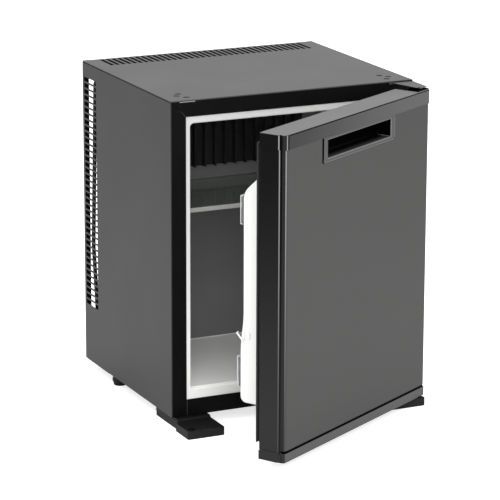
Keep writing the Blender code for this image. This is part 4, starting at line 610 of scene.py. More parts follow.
# Shelf. A smoked glass plate lies loose on the lining's ledges and lifts out; moulded grey trims clip over
# its front and rear edges.
glass, place = new_finish("smoked_glass", IOR=1.5, Transmission_Weight=0.9)
ripple = noise(place, 0.03, 1.0)
tone = between(ripple, (0.50, 0.54, 0.50), (0.54, 0.58, 0.54))
apply_finish(glass, tone, 0.02 + 0.03 * ripple, ripple, 0.00002)
dress("shelf_glass", glass, 0.0006, 3)
trim_plastic = moulded_plastic("shelf_trim_plastic", (0.37, 0.37, 0.35), 0.38, 0.0009, 0.00003)
for node in ("shelf_front_trim", "shelf_rear_trim"):
    dress(node, trim_plastic, 0.0008, 3)

# Light and thermostat. A white housing snapped to the right-hand wall holds the lamp behind a ribbed lens
# and the thermostat, whose knob turns on a shaft that comes out towards the middle of the compartment.
WHITE = (0.78, 0.78, 0.76)
white_plastic = moulded_plastic("white_moulded_plastic", WHITE, 0.35, 0.0009, 0.00003, 0.5, 0.015)
dress("control_housing", white_plastic, 0.0007, 3)
clear_plastic, place = new_finish("clear_plastic", IOR=1.49, Transmission_Weight=0.92)
haze = noise(place, 0.01)
tone = between(haze, (0.86, 0.89, 0.89), (0.93, 0.95, 0.95))
apply_finish(clear_plastic, tone, 0.05 + 0.05 * haze, haze, 0.00002)
LENS_RIBS = 14
RIB_SHARE = 0.36
RIB_PROUD = 0.0004
RIB_INSET = 0.0006
lens_low, lens_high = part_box("lamp_lens")
rib_pitch = (lens_high.y - lens_low.y) / LENS_RIBS
bm = copy_of("lamp_lens")
for number in range(LENS_RIBS):
    rib_y = lens_low.y + (number + 0.5) * rib_pitch
    rounded_box(
        bm,
        (lens_low.x - RIB_PROUD, rib_y - rib_pitch * RIB_SHARE, lens_low.z + RIB_INSET),
        (lens_low.x + RIB_INSET, rib_y + rib_pitch * RIB_SHARE, lens_high.z - RIB_INSET),
        0.0004,
        2,
    )
set_down("lamp_lens_ribbed", bm, clear_plastic, "cabinet", "lamp_lens")
frame["nodes"]["thermostat_body"].material_slots[0].material = cover_plastic

KNOB_FLUTES = 24
KNOB_SKIRT = 0.0090
KNOB_BAR = 0.0040
KNOB_SHAFT = 0.0030
BAR_HALF = 0.0022
knob_low, knob_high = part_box("thermostat_knob")
joints = {joint["name"]: joint for joint in frame["joints"]}
knob_axis = Vector(joints["thermostat_turn"]["pos_m"])
knob_radius = (knob_high.y - knob_low.y) / 2
bar_end = knob_low.x + KNOB_BAR
skirt_end = bar_end + KNOB_SKIRT
knob_profile = (
    (knob_high.x, 0.0), (knob_high.x, KNOB_SHAFT), (skirt_end, KNOB_SHAFT), (skirt_end, knob_radius),
    (skirt_end - 0.0012, knob_radius), (skirt_end - 0.0020, knob_radius * 0.93),
    (bar_end + 0.0010, knob_radius * 0.90), (bar_end, knob_radius * 0.82), (bar_end, 0.0),
)
bm = bmesh.new()
spun(bm, [(x - knob_axis.x, radius) for x, radius in knob_profile], knob_axis, RIGHTWARD)
rounded_box(
    bm,
    (knob_low.x, knob_axis.y - BAR_HALF, knob_axis.z - knob_radius * 0.80),
    (bar_end + 0.001, knob_axis.y + BAR_HALF, knob_axis.z + knob_radius * 0.80),
    0.0009,
)
for number in range(KNOB_FLUTES):
    turn = 2 * pi * number / KNOB_FLUTES
    flute = bmesh.ops.create_uvsphere(bm, u_segments=8, v_segments=6, radius=0.0006)["verts"]
    around = Vector((0.0, cos(turn), sin(turn))) * knob_radius * 0.91
    place = Vector((bar_end + 0.0040, knob_axis.y, knob_axis.z)) + around
    bmesh.ops.scale(bm, vec=(4.0, 1.0, 1.0), verts=flute)
    bmesh.ops.translate(bm, vec=place, verts=flute)
set_down("thermostat_knob_turned", bm, white_plastic, "knob", "thermostat_knob")

# Upper and lower hinge. Each has a zinc-plated pin. The upper plate is folded steel: a tongue under the top
# panel, a web before the frame and a flat nose over the door. Three screws hold it; the other corner keeps
# its spare holes, with a strip and moulded plugs in them.


def sink(bm, faces, depth):
    """Pushes a patch of faces in along an arrow and leaves walls round it."""
    sunk = bmesh.ops.extrude_face_region(bm, geom=faces)["geom"]
    bmesh.ops.translate(bm, vec=depth, verts=[item for item in sunk if isinstance(item, bmesh.types.BMVert)])
    bmesh.ops.delete(bm, geom=[face for face in faces if face.is_valid], context="FACES_ONLY")


HEAD_RADIUS = 0.0026
HEAD_PROFILE = ((0.0, 0.0), (0.0, 0.55), (-0.0003, 0.85), (-0.0008, 1.0), (-0.0014, 1.0), (-0.0015, 0.55))
CROSS_HALF_WIDTH = 0.00045
CROSS_REACH = 0.0017
CROSS_DEPTH = 0.0007


def cross_head(bm, centre, depth):
    """A raised round head with a cross recess, its top at the centre, on a shank of some depth."""
    head = bmesh.new()
    steps = (*HEAD_PROFILE, (-depth, 0.55), (-depth, 0.0))
    spun(head, [(along, HEAD_RADIUS * share) for along, share in steps], centre, UPRIGHT, 24)
    for axis in (0, 1):
        shifts = (-CROSS_REACH, -CROSS_HALF_WIDTH, CROSS_HALF_WIDTH, CROSS_REACH)
        cut_across(head, axis, [centre[axis] + shift for shift in shifts])
    recess = []
    for face in head.faces:
        offset = face.calc_center_median() - centre
        across = sorted((abs(offset.x), abs(offset.y)))
        if face.normal.z > 0.5 and across[0] < CROSS_HALF_WIDTH and across[1] < CROSS_REACH:
            recess.append(face)
    sink(head, recess, (0.0, 0.0, -CROSS_DEPTH))
    scratch = bpy.data.meshes.new("head")
    head.to_mesh(scratch)
    head.free()
    bm.from_mesh(scratch)
    bpy.data.meshes.remove(scratch)


NOSE_STEP = 0.0019
NOSE_START = 0.0026
SHADE_STRIP_INSET = 0.0004
hinge_paint = powder_coat("hinge_powder_coat", (0.038, 0.038, 0.037), 0.42, 0.42)
hinge_low, hinge_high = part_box("top_hinge_plate")
top_low, top_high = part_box("top_panel")
bm = copy_of("top_hinge_plate")
for vert in bm.verts:
    if vert.co.z > hinge_high.z - 0.0001:
        vert.co.z -= NOSE_STEP
        vert.co.y = min(vert.co.y, top_low.y - NOSE_START)
round_edges(bm, 0.0004)
set_down("top_hinge_plate_folded", bm, hinge_paint, "cabinet", "top_hinge_plate")
# A near-black strip under the hinge's nose is painted shade that keeps the gap there dark.
bm = bmesh.new()
rounded_box(
    bm,
    (hinge_low.x + SHADE_STRIP_INSET, top_low.y - NOSE_START, hinge_high.z - 0.0036),
    (hinge_high.x - SHADE_STRIP_INSET, top_low.y - 0.0001, hinge_high.z - 0.0005),
    0.0003,
    1,
)
set_down("top_hinge_shade_strip", bm, shade_black_paint, "cabinet", slot="rubber")
STRIP_SHINE = 0.0009
shine_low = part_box("spare_hinge_strip")[1].z - STRIP_SHINE
bm = copy_of("spare_hinge_strip")
cut_across(bm, 2, (shine_low,))
round_edges(bm, 0.0002, 1)
strip = set_down("spare_hinge_strip_dressed", bm, zinc, "cabinet", "spare_hinge_strip")
# Below a thin zinc line at its top, the strip's front is painted near-black as painted shade.
paint_faces(strip, shade_black_paint, lambda centre, normal: normal.y < -0.5 and centre.z < shine_low)
for node in ("top_hinge_pin", "bottom_hinge_pin", "bottom_hinge_plate"):
    dress(node, zinc)
screw_paint = powder_coat("screw_paint", 0.020, 0.4, 0.4)
hole_plastic = moulded_plastic("plug_plastic", 0.003, 0.45, 0.0006, 0.00004, 0.06)
for number in (1, 2, 3):
    node = "top_hinge_screw_%d" % number
    low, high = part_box(node)
    bm = bmesh.new()
    cross_head(bm, Vector(((low.x + high.x) / 2, (low.y + high.y) / 2, high.z)), high.z - low.z)
    set_down(node + "_turned", bm, screw_paint, "cabinet", node)
HOLES_FROM_SIDE = ((0.0320, 0.0460), (0.0240, 0.0330), (0.0340, 0.0190))
PLUG_WEB = 0.0006
plug_low, plug_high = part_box("spare_hole_plugs")
web_top = plug_low.z + PLUG_WEB
bm = bmesh.new()
rounded_box(bm, plug_low, (plug_high.x, plug_high.y, web_top), 0.0002, 1)
for x, y in HOLES_FROM_SIDE:
    plug = Vector((top_low.x + x, top_low.y + y, plug_high.z))
    cross_head(bm, plug, plug_high.z - web_top + PLUG_WEB / 2)
plugs = set_down("spare_hole_plugs_moulded", bm, hole_plastic, "cabinet", "spare_hole_plugs")
paint_faces(plugs, screw_paint, lambda centre, normal: centre.z > web_top)

# Top panel. Its front edge is rolled down over the frame and its back edge is folded down; a row of
# cooling slots lies along the back. The hinge screws go through round holes in the front corners.
TOP_SLOTS = 36
TOP_SLOT_WIDTH = 0.0058
TOP_ROLL = 0.0016
TOP_BEND = 1.6 * PANEL_BEND
REAR_DROP = 0.0200
FLANGE_GAP = 0.0003
HOLE_RADIUS = 0.0047
HOLE_CLEARING = 1.12 * HOLE_RADIUS
first_left = (top_low.x + top_high.x - (TOP_SLOTS - 1) * SLOT_PITCH - TOP_SLOT_WIDTH) / 2
top_slots = [
    ((left, slot_front), (left + TOP_SLOT_WIDTH, slot_back))
    for left in (first_left + SLOT_PITCH * column for column in range(TOP_SLOTS))
]
flange_span = (top_low.x + REAR_FLANGE + FLANGE_GAP, top_high.x - REAR_FLANGE - FLANGE_GAP)
hole_places = [
    Vector((side, top_low.y + y, top_high.z))
    for x, y in HOLES_FROM_SIDE
    for side in (top_low.x + x, top_high.x - x)
]
bm = bmesh.new()
punched_sheet(bm, [(*corner, top_high.z) for corner in rectangle(top_low, top_high)], top_slots, (0, 1))
cut_across(bm, 0, flange_span)
for axis in (0, 1):
    cut_across(bm, axis, [hole[axis] + side * HOLE_CLEARING for hole in hole_places for side in (-1.0, 1.0)])
for hole in hole_places:
    cleared = [
        face for face in bm.faces
        if all(abs(face.calc_center_median()[axis] - hole[axis]) < HOLE_CLEARING for axis in (0, 1))
    ]
    border = {
        edge for face in cleared for edge in face.edges
        if any(other not in cleared for other in edge.link_faces)
    }
    bmesh.ops.delete(bm, geom=cleared, context="FACES")
    rim = bmesh.ops.create_circle(
        bm, cap_ends=False, radius=HOLE_RADIUS, segments=24, matrix=Matrix.Translation(hole)
    )["verts"]
    rim_edges = {edge for vert in rim for edge in vert.link_edges}
    bmesh.ops.triangle_fill(bm, use_beauty=True, edges=list(border | rim_edges), normal=UPRIGHT)
fold(bm, 1, top_low.y, ((0.0, 0.0, -TOP_ROLL),))
fold(bm, 1, top_high.y, ((0.0, 0.0, -REAR_DROP),), flange_span)
thicken_sheet(bm, UPRIGHT, TOP_BEND)
FLANGE_DROP = 0.0120
FLANGE_FRONT = 0.0223
FLANGE_BACK = 0.0640
for flange_x in (top_low.x + SHEET + FLANGE_GAP, top_high.x - 2 * SHEET - FLANGE_GAP):
    rounded_box(
        bm,
        (flange_x, top_low.y + FLANGE_FRONT, top_high.z - FLANGE_DROP),
        (flange_x + SHEET, top_high.y - FLANGE_BACK, top_high.z - SHEET / 2),
        0.0003,
        1,
    )
# Near-black strips under the top's side edges are painted shade, which darkens the seam between top and
# sides.
SEAM_SETBACK = 0.0002
under_sheet = top_high.z - SHEET
seams = bmesh.new()
for seam_x in (top_low.x + SEAM_SETBACK, top_high.x - SHEET + SEAM_SETBACK / 2):
    rounded_box(
        seams,
        (seam_x, top_low.y + 0.0030, under_sheet - 0.0014),
        (seam_x + SHEET - 1.5 * SEAM_SETBACK, top_high.y - 0.0015, under_sheet - 0.0001),
        0.0001,
        1,
    )
set_down("top_seam_shade_strips", seams, shade_black_paint, "cabinet", slot="rubber")
top = set_down("top_panel_folded", bm, graphite_paint, "cabinet", "top_panel")
# The underside, the inside of the rear flange and the side flanges are painted near-black as painted shade.
paint_faces(top, shade_black_paint, lambda centre, normal: (
    normal.z < -0.5 or normal.y < -0.5 and centre.y > slot_back
    or abs(normal.x) > 0.5 and centre.z < top_high.z - SHEET * 1.2
))

# Door caps. Graphite plastic mouldings close the door's top and bottom. The top one carries the recessed
# handle, whose pocket is painted near-black as painted shade, and a shadow line runs along its upper front
# edge. The door is drawn shut, its places are measured from its front left edge, and it is swung open when
# set down.
hinge_line = Vector(joints["door_hinge"]["pos_m"])
open_turn = radians(-joints["door_hinge"]["range_deg"][0])
opened = Matrix.Translation(hinge_line) @ Matrix.Rotation(open_turn, 4, "Z") @ Matrix.Translation(-hinge_line)
closed = opened.inverted()
shut_cap = [closed @ vert.co for vert in frame["nodes"]["door_top_cap"].data.vertices]
corner = Vector((min(place.x for place in shut_cap), min(place.y for place in shut_cap), 0.0))
door_view = Matrix.Translation(-corner) @ closed


def closed_box(node):
    """A door node's lowest and highest corners with the door shut, from the door's corner."""
    places = [closed @ vert.co - corner for vert in frame["nodes"][node].data.vertices]
    return [Vector([pick(place[axis] for place in places) for axis in range(3)]) for pick in (min, max)]


def shut_copy_of(node):
    bm = copy_of(node)
    bmesh.ops.transform(bm, matrix=closed, verts=bm.verts)
    return bm


def set_open(name, bm, material, *nodes, slot=None, sharp=50):
    """Swings a piece that was drawn with the door shut to the open door, and sets it down there."""
    bmesh.ops.transform(bm, matrix=opened, verts=bm.verts)
    return set_down(name, bm, material, "door", *nodes, slot=slot, sharp=sharp)


def boxes(spans, radius, segments=1, origin=corner):
    """Rounded blocks in a new bmesh, each from its two ends on the three axes, measured from an origin."""
    bm = bmesh.new()
    for span in spans:
        low, high = (Vector(end) + origin for end in zip(*span))
        rounded_box(bm, low, high, radius, segments)
    return bm


NEAR = 0.0002
SHINE = (0.0047, 0.0072)
SHINE_DEPTH = 0.0015
BEAD = (0.0103, 0.0116)
BEAD_REACH = 0.0032


def at_edge(place, normal):
    """The dark parts of the free edge: its side, its groove and the back of its nose."""
    return place.x < SHINE[0] and normal.z < 0.7


def in_shine(place, normal):
    """The two narrow facets that get a painted highlight."""
    bead = BEAD[0] < place.y < BEAD[1] and place.x < BEAD_REACH and normal.x < -0.3 and normal.y < -0.3
    nose = SHINE[0] < place.x < SHINE[1] and place.y < SHINE_DEPTH and normal.y < -0.5
    return abs(normal.z) < 0.5 and (bead or nose)


cap_plastic = moulded_plastic("cap_plastic", (0.062, 0.062, 0.061), 0.40, 0.0008, 0.00002)
# The free edge's dark plastic gets a painted shade gradient, darkest at the top.
edge_plastic_painted_shade = light_and_shade_gradient("edge_plastic_painted_shade", (0.002, 0.002, 0.0025), 0.026, 0.36, 0.0010, 0.00003, 0.07)
# The rounded nose round the free edge is painted dark as painted shade.
nose_painted_shade = light_and_shade_gradient("nose_painted_shade", 0.006, 0.009, 0.30, 0.0010, 0.00002, 0.22)
# Two narrow light lines on the free edge are painted highlights that fade towards the foot.
free_edge_painted_highlight = light_and_shade_gradient("free_edge_painted_highlight", 0.22, 0.045, 0.30, 0.0008, 0.00001, 0.30, 0.25)
# The top cap's front band gets painted shade, darker towards its left end.
band_painted_shade = light_and_shade_gradient("band_painted_shade", 0.076, 0.006, 0.36, 0.0008, 0.00002, 0.40, axis=0)
# Near-black for the handle's pocket and the gaps beside it is painted shade; the bush carrier is black
# plastic.
black_and_painted_shade = moulded_plastic("black_plastic_and_painted_shade", 0.0008, 0.60, 0.0008, 0.00004, 0.01)
# Light grey for the pocket's rims, the housing's bead and a fillet in the pocket: painted highlights.
rim_painted_highlight = moulded_plastic("rim_plastic", 0.150, 0.30, 0.0008, 0.00001)
housing_plastic = moulded_plastic("housing_plastic", 0.054, 0.36, 0.0008, 0.00002)
# The pocket's floor is painted from dark grey at the front to near-black at the back: painted shade deeper in
# the recess.
pocket_floor_shade, place = new_finish("grip_floor_plastic", Specular_IOR_Level=0.05)
into_door = opened.to_3x3() @ Vector((0.0, 1.0, 0.0))
door_face = (opened @ corner).dot(into_door)
grip_depth = place.node("VectorMath", {"operation": "DOT_PRODUCT"}, {0: place, 1: into_door}, 1)
grip_share = grip_depth.node("MapRange", {"interpolation_type": "SMOOTHSTEP"}, {
    "Value": grip_depth, "From Min": door_face - 0.004, "From Max": door_face + 0.019
})
grain = noise(place, 0.0008, 3.0)
apply_finish(pocket_floor_shade, between(grip_share, 0.050, 0.0008), 0.5 + 0.1 * grain, grain, 0.00004)

SEAM_DROP = 0.0005
SEAM_HEIGHT = 0.0014
SEAM_DEPTH = 0.0025
STRIP = (0.0078, 0.0106)
HOUSING = (0.1010, 0.2960)
HOUSING_EDGE = 0.0007
GRIP_BACK = 0.0275
GRIP_SIDE = 0.1040
POCKET_SIDE = 0.1105
RIM_ROLL = 0.0011
GROOVE = (0.0058, 0.0114)
POCKET_FILLET_HIGHLIGHT = (0.2842, 0.2852)
cap_low, cap_high = closed_box("door_top_cap")
panel_low, panel_high = closed_box("door_front_panel")
seam_top = cap_high.z - SEAM_DROP
seam_low = seam_top - SEAM_HEIGHT


def in_gap(face):
    """The shadow line below the cap's top, and the narrow strip beside the free edge."""
    place = face.calc_center_median() - corner
    in_seam = seam_low < place.z < seam_top and place.x > STRIP[0]
    in_strip = place.z < seam_low and STRIP[0] < place.x < STRIP[1]
    return face.normal.y < -0.7 and place.y < 0.0005 and (in_seam or in_strip)


def at_pocket(edge):
    """The rim of the handle's pocket in the cap's front."""
    return all(
        abs(place.y) < NEAR and POCKET_SIDE < place.x < cap_high.x - POCKET_SIDE
        and cap_low.z + 0.004 < place.z < seam_low - 0.004
        for place in (vert.co - corner for vert in edge.verts)
    )


def at_housing(edge):
    """The lower and the right-hand edge of the handle's housing."""
    return all(
        abs(place.y) < NEAR and HOUSING[0] - NEAR < place.x < HOUSING[1] + NEAR
        and (place.z < cap_low.z + 0.0045 or place.z < panel_high.z + 0.0004 and place.x > HOUSING[1] - NEAR)
        for place in (vert.co - corner for vert in edge.verts)
    )


bm = shut_copy_of("door_top_cap")
cut_across(bm, 2, (seam_low, seam_top))
cut_across(bm, 0, [corner.x + place for place in (SHINE[1], *STRIP, *HOUSING)])
sink(bm, [face for face in bm.faces if in_gap(face)], (0.0, SEAM_DEPTH, 0.0))
round_edges(bm, RIM_ROLL, 2, 60, at_pocket)
round_edges(bm, HOUSING_EDGE, 1, 60, at_housing)
round_edges(bm, 0.0002, 1)
# A small fillet at the pocket's right end carries a painted highlight.
rounded_box(
    bm,
    corner + Vector((POCKET_FILLET_HIGHLIGHT[0], 0.0020, cap_low.z + 0.0060)),
    corner + Vector((POCKET_FILLET_HIGHLIGHT[1], 0.0190, cap_low.z + 0.0070)),
    0.0003,
    1,
)
# A bead along the housing's lower and right edges carries a painted highlight.
HOUSING_BEAD = (-0.0001, 0.0009)
bead = boxes((
    ((HOUSING[0] + 0.0035, HOUSING[1] - 0.0035), HOUSING_BEAD, (cap_low.z + 0.0001, cap_low.z + 0.0010)),
    ((HOUSING[1] - 0.0012, HOUSING[1] - 0.0001), HOUSING_BEAD, (cap_low.z + 0.0035, panel_high.z - 0.0004)),
), 0.0003, 2)
set_open("handle_housing_highlight_bead", bead, rim_painted_highlight, slot="black_plastic")
cap = set_open("door_top_cap_moulded", bm, cap_plastic, "door_top_cap")
# Painted light and shade on the cap: the band darker to the left, the free edge darker at the top, the nose
# dark, the pocket near-black with a floor darkening inwards, and light facets and rims as painted highlights.
for material, chosen in (
    (band_painted_shade, lambda place, normal: normal.y < -0.5),
    (housing_plastic, lambda place, normal: normal.y < -0.5 and place.z < panel_high.z + 0.0004),
    (edge_plastic_painted_shade, lambda place, normal: at_edge(place, normal) and place.z < cap_high.z - 0.0004),
    (nose_painted_shade, lambda place, normal: at_edge(place, normal) and place.y < GROOVE[0]),
    (free_edge_painted_highlight, lambda place, normal: in_shine(place, normal) and place.z < seam_top),
    (black_and_painted_shade, lambda place, normal: (
        0.0003 < place.y < GRIP_BACK and STRIP[0] - NEAR < place.x < cap_high.x - 0.001
        and place.z < seam_top + NEAR
        and (place.y < 0.0017 or GRIP_SIDE < place.x < cap_high.x - GRIP_SIDE)
        or normal.x < -0.7 and place.z < panel_high.z and abs(place.x - HOUSING[0]) < 0.002
    )),
    (pocket_floor_shade, lambda place, normal: (
        normal.z > 0.5 and place.z < cap_high.z - 0.020 and GRIP_SIDE < place.x < cap_high.x - GRIP_SIDE
        and RIM_ROLL < place.y < GRIP_BACK
    )),
    (rim_painted_highlight, lambda place, normal: (
        -0.96 < normal.y < -0.10 and place.y < RIM_ROLL
        and POCKET_SIDE - 0.001 < place.x < cap_high.x - POCKET_SIDE + 0.001
        and cap_low.z + 0.003 < place.z < seam_low - 0.002 and (normal.z > 0.2 or normal.x < -0.2)
        or -0.96 < normal.y < -0.10 and place.z < panel_high.z and place.y < HOUSING_EDGE
        and (normal.z < -0.2 or normal.x > 0.2) and place.x < HOUSING[1] + NEAR
        or POCKET_FILLET_HIGHLIGHT[0] - NEAR < place.x < POCKET_FILLET_HIGHLIGHT[1] + NEAR / 2 and place.z < cap_low.z + 0.0071
        and place.y > 0.0018
    )),
):
    paint_faces(cap, material, chosen, door_view)

RECESS_REACH = 0.0335
RECESS_DEPTH = 0.0078
CARRIER_RISE = 0.0009
CARRIER_RING = (0.0058, 0.0077)
CARRIER_FRONT = 0.0034
CARRIER_BACK = 0.0250
WALL = 0.0022
recess_left = cap_high.x - RECESS_REACH
carrier_right = cap_high.x - 0.0003
carrier_span = (cap_high.z - RECESS_DEPTH, cap_high.z + CARRIER_RISE)
bm = boxes((
    ((recess_left, cap_high.x - 0.0024), (CARRIER_FRONT, CARRIER_FRONT + WALL), carrier_span),
    ((carrier_right - WALL / 3, carrier_right), (0.0078, CARRIER_BACK), carrier_span),
    ((recess_left, carrier_right), (CARRIER_BACK, CARRIER_BACK + WALL), carrier_span),
), 0.0003, 2)
carrier_ring = ring_section(*CARRIER_RING, RECESS_DEPTH + CARRIER_RISE)
spun(bm, carrier_ring, Vector((hinge_line.x, hinge_line.y, carrier_span[0])), UPRIGHT, 32)
set_open("upper_bush_carrier", bm, black_and_painted_shade, slot="black_plastic")

foot_low, foot_high = closed_box("door_bottom_cap")
bm = shut_copy_of("door_bottom_cap")
round_edges(bm, 0.00035)
rounded_box(
    bm,
    corner + Vector((0.0006, GROOVE[0], foot_low.z + 0.0003)),
    corner + Vector((0.0045, GROOVE[1], foot_high.z - 0.0006)),
    0.0004,
)
foot_cap = set_open("door_bottom_cap_moulded", bm, cap_plastic, "door_bottom_cap")
paint_faces(foot_cap, edge_plastic_painted_shade, lambda place, normal: place.x < SHINE[0], door_view)
paint_faces(foot_cap, nose_painted_shade, lambda place, normal: (
    at_edge(place, normal) and normal.y > -0.5 and place.y < GROOVE[0]
), door_view)

# Door front. A folded steel sheet wraps round both edges into the grooves of the side mouldings. It has the
# cabinet's powder coat lightened a little as painted light, and near-black strips close the gaps to the caps
# as painted shade.
LOWER_GAP = 0.0032
UPPER_GAP = 0.0004
HANDLE_GAP = 0.0042
WRAP = (0.0046, 0.0058)
HAIR = 0.00001
bm = shut_copy_of("door_front_panel")
for vert in bm.verts:
    if vert.co.z < panel_low.z + 0.0001:
        vert.co.z += LOWER_GAP
    elif vert.co.z > panel_high.z - 0.0001:
        vert.co.z += UPPER_GAP
    if abs(vert.co.x - corner.x - HOUSING[0]) < 0.0030 and vert.co.z > panel_low.z + 0.3:
        vert.co.x -= HANDLE_GAP
cut_across(bm, 0, [corner.x + place for place in WRAP])
round_edges(bm, 0.0002, 1)
# The door's coat is the cabinet's graphite lightened by a quarter: painted light.
door_paint_painted_light = powder_coat("door_powder_coat_painted_light", tint(GRAPHITE, 1.25), *COAT)
front = set_open("door_front_panel_folded", bm, door_paint_painted_light, "door_front_panel")
# The sheet's nose round the free edge is painted dark: painted shade.
paint_faces(front, nose_painted_shade, lambda place, normal: place.x < WRAP[1] + HAIR, door_view)
# The facet beside the nose carries a painted highlight.
paint_faces(front, free_edge_painted_highlight, lambda place, normal: (
    WRAP[0] < place.x < WRAP[1] - HAIR and normal.y < -0.3
), door_view)
STRIP_SETBACK = 0.0007
STRIP_THICK = 0.0012
STRIP_INSET = 0.0040
NOSE_INSET = 0.0009
STRIP_LAP = 0.0006
strip = (panel_low.y + STRIP_SETBACK, panel_low.y + STRIP_SETBACK + STRIP_THICK)
nose = (panel_low.y + 0.0021, panel_low.y + 0.0062)
low_gap = (foot_high.z - STRIP_LAP, panel_low.z + LOWER_GAP + STRIP_LAP)
gap_left = HOUSING[0] - HANDLE_GAP - 0.0014
# Near-black strips behind the gaps to the caps and beside the handle are painted shade.
bm = boxes((
    ((panel_low.x + STRIP_INSET, panel_high.x - STRIP_INSET), strip, low_gap),
    ((panel_low.x + NOSE_INSET, panel_high.x - NOSE_INSET), nose, low_gap),
    ((gap_left, HOUSING[0] - NEAR), strip, (cap_low.z - STRIP_LAP, panel_high.z + NEAR)),
    ((gap_left, HOUSING[1] + 0.0008), (strip[0] + NEAR, strip[1]), (cap_low.z - 0.0012, cap_low.z + NEAR)),
), 0.0003)
set_open("door_seam_shade_strips", bm, black_and_painted_shade, slot="rubber")
for hand in ("free", "hinge"):
    profile = dress("door_profile_" + hand, edge_plastic_painted_shade)
    # The profiles' beads carry painted highlights.
    paint_faces(profile, free_edge_painted_highlight, lambda place, normal: in_shine(place, normal) or (
        place.x < BEAD_REACH and place.y < BEAD[1] and normal.x < -0.3 and normal.y < -0.3
    ), door_view)

# Door lining. One vacuum-formed white sheet with two deep dykes that hold the balconies, and a floor
# between them under the upper one.
DYKE_FROM_SIDE = 0.0460
DYKE_WIDTH = 0.0120
DYKE_BOTTOM = 0.0600
DYKE_STEP = 0.1680
DYKE_SHOULDER = 0.3760
DYKE_TOP = 0.4300
STEP_IN = 0.0050
STEP_EASE = 0.0180
DYKE_EDGE = 0.0028
lining_low, lining_high = closed_box("door_liner")
dyke_origin = corner + Vector((0.0, 0.0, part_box("side_panel_left")[0].z))
dyke_root = lining_low.y + LINER_SHEET - 0.001
dyke_step = lining_high.y - STEP_IN
bm = bmesh.new()
plate = flat_outline(bm, corner + lining_low, corner + lining_high, 0.004)
thick = bmesh.ops.extrude_face_region(bm, geom=[plate])["geom"]
plate_verts = [item for item in thick if isinstance(item, bmesh.types.BMVert)]
bmesh.ops.translate(bm, vec=(0.0, LINER_SHEET, 0.0), verts=plate_verts)
bmesh.ops.recalc_face_normals(bm, faces=bm.faces)
dyke_corners = (
    (dyke_root, DYKE_BOTTOM, 0.0), (lining_high.y, DYKE_BOTTOM, 0.0096),
    (lining_high.y, DYKE_STEP - STEP_EASE, 0.0120), (dyke_step, DYKE_STEP + STEP_EASE, 0.0120),
    (dyke_step, DYKE_SHOULDER, 0.0096), (dyke_root, DYKE_TOP, 0.0),
)
for dyke_left in (DYKE_FROM_SIDE, cap_high.x - DYKE_FROM_SIDE - DYKE_WIDTH):
    existing = set(bm.verts)
    corners = [bm.verts.new(dyke_origin + Vector((dyke_left, y, z))) for y, z, radius in dyke_corners]
    bm.faces.new(corners)
    for bend, (y, z, radius) in zip(corners, dyke_corners):
        if radius:
            bevel(bm, [bend], radius, 5, "VERTICES")
    side = [face for face in bm.faces if len(face.verts) > 6 and not existing.intersection(face.verts)]
    swept = bmesh.ops.extrude_face_region(bm, geom=side)["geom"]
    side_verts = [item for item in swept if isinstance(item, bmesh.types.BMVert)]
    bmesh.ops.translate(bm, vec=(DYKE_WIDTH, 0.0, 0.0), verts=side_verts)
    fresh = [face for face in bm.faces if not existing.intersection(face.verts)]
    bmesh.ops.recalc_face_normals(bm, faces=fresh)
    rims = {edge for face in fresh if abs(face.normal.x) > 0.9 for edge in face.edges}
    bevel(bm, list(rims), DYKE_EDGE, 4)
balcony_floor = closed_box("upper_balcony")[0].z
inner_side = DYKE_FROM_SIDE + DYKE_WIDTH / 2
rounded_box(
    bm,
    corner + Vector((inner_side, dyke_root, balcony_floor - 0.0100)),
    corner + Vector((cap_high.x - inner_side, dyke_step - 0.0005, balcony_floor - 0.0004)),
    0.0022,
)
white_door = white_sheet("white_door_lining", (0.85, 0.85, 0.84), 0.34)
set_open("door_liner_formed", bm, white_door, "door_liner")

# Balconies. Clear mouldings hang on the dykes: a floor, a guard and two returns, with a whitish rim that is a
# painted highlight. The bottle hook on the free-side dyke has an upturned finger.
RIM_PROUD = 0.0028
RIM_WIDTH = 0.0013
RIM_LAP = 0.0020
balcony_rim_painted_highlight = moulded_plastic("balcony_rim_painted_highlight", (0.62, 0.64, 0.64), 0.35, 0.0006, 0.00002, 0.5, 0.03)
for node in ("upper_balcony", "lower_balcony"):
    balcony = dress(node, clear_plastic, 0.0007, 3)
    low, high = closed_box(node)
    # The guard's top and bottom edges are painted whitish as a painted highlight.
    paint_faces(balcony, balcony_rim_painted_highlight, lambda place, normal: (
        abs(normal.z) > 0.8 and place.y > high.y - 0.004
    ), door_view)
    rim_front = high.y + RIM_PROUD
    guard = (rim_front - RIM_WIDTH, rim_front)
    back = (high.y - RIM_LAP, rim_front)
    sides = ((low.x, low.x + RIM_WIDTH), (high.x - RIM_WIDTH, high.x))
    levels = ((low.z, low.z + RIM_WIDTH), (high.z - RIM_WIDTH, high.z))
    bars = [(side, guard, (low.z, high.z)) for side in sides]
    bars += [((low.x, high.x), guard, level) for level in levels]
    bars += [(side, back, level) for side in sides for level in levels]
    set_open(node + "_rim", boxes(bars, RIM_WIDTH * 0.3, 2), balcony_rim_painted_highlight, slot="clear_plastic")
dress("bottle_clip", white_door, 0.0005, 3)
FINGER = (0.0030, 0.0172, 0.0016)
FINGER_TIP = (0.0014, 0.0036)
clip_low, clip_high = closed_box("bottle_clip")
bm = boxes((
    ((0.0, FINGER[0]), (0.0, FINGER[1]), (0.0, FINGER[2])),
    ((0.0, FINGER[0]), (FINGER[1] - FINGER_TIP[0], FINGER[1]), (0.0, FINGER_TIP[1])),
), 0.0005, 2, Vector())
finger_root = corner + Vector((clip_low.x + 0.0006, clip_high.y - 0.0004, clip_low.z - 0.0048))
finger_lean = Matrix.Translation(finger_root) @ Matrix.Rotation(radians(45.0), 4, "X")
bmesh.ops.transform(bm, matrix=finger_lean, verts=bm.verts)
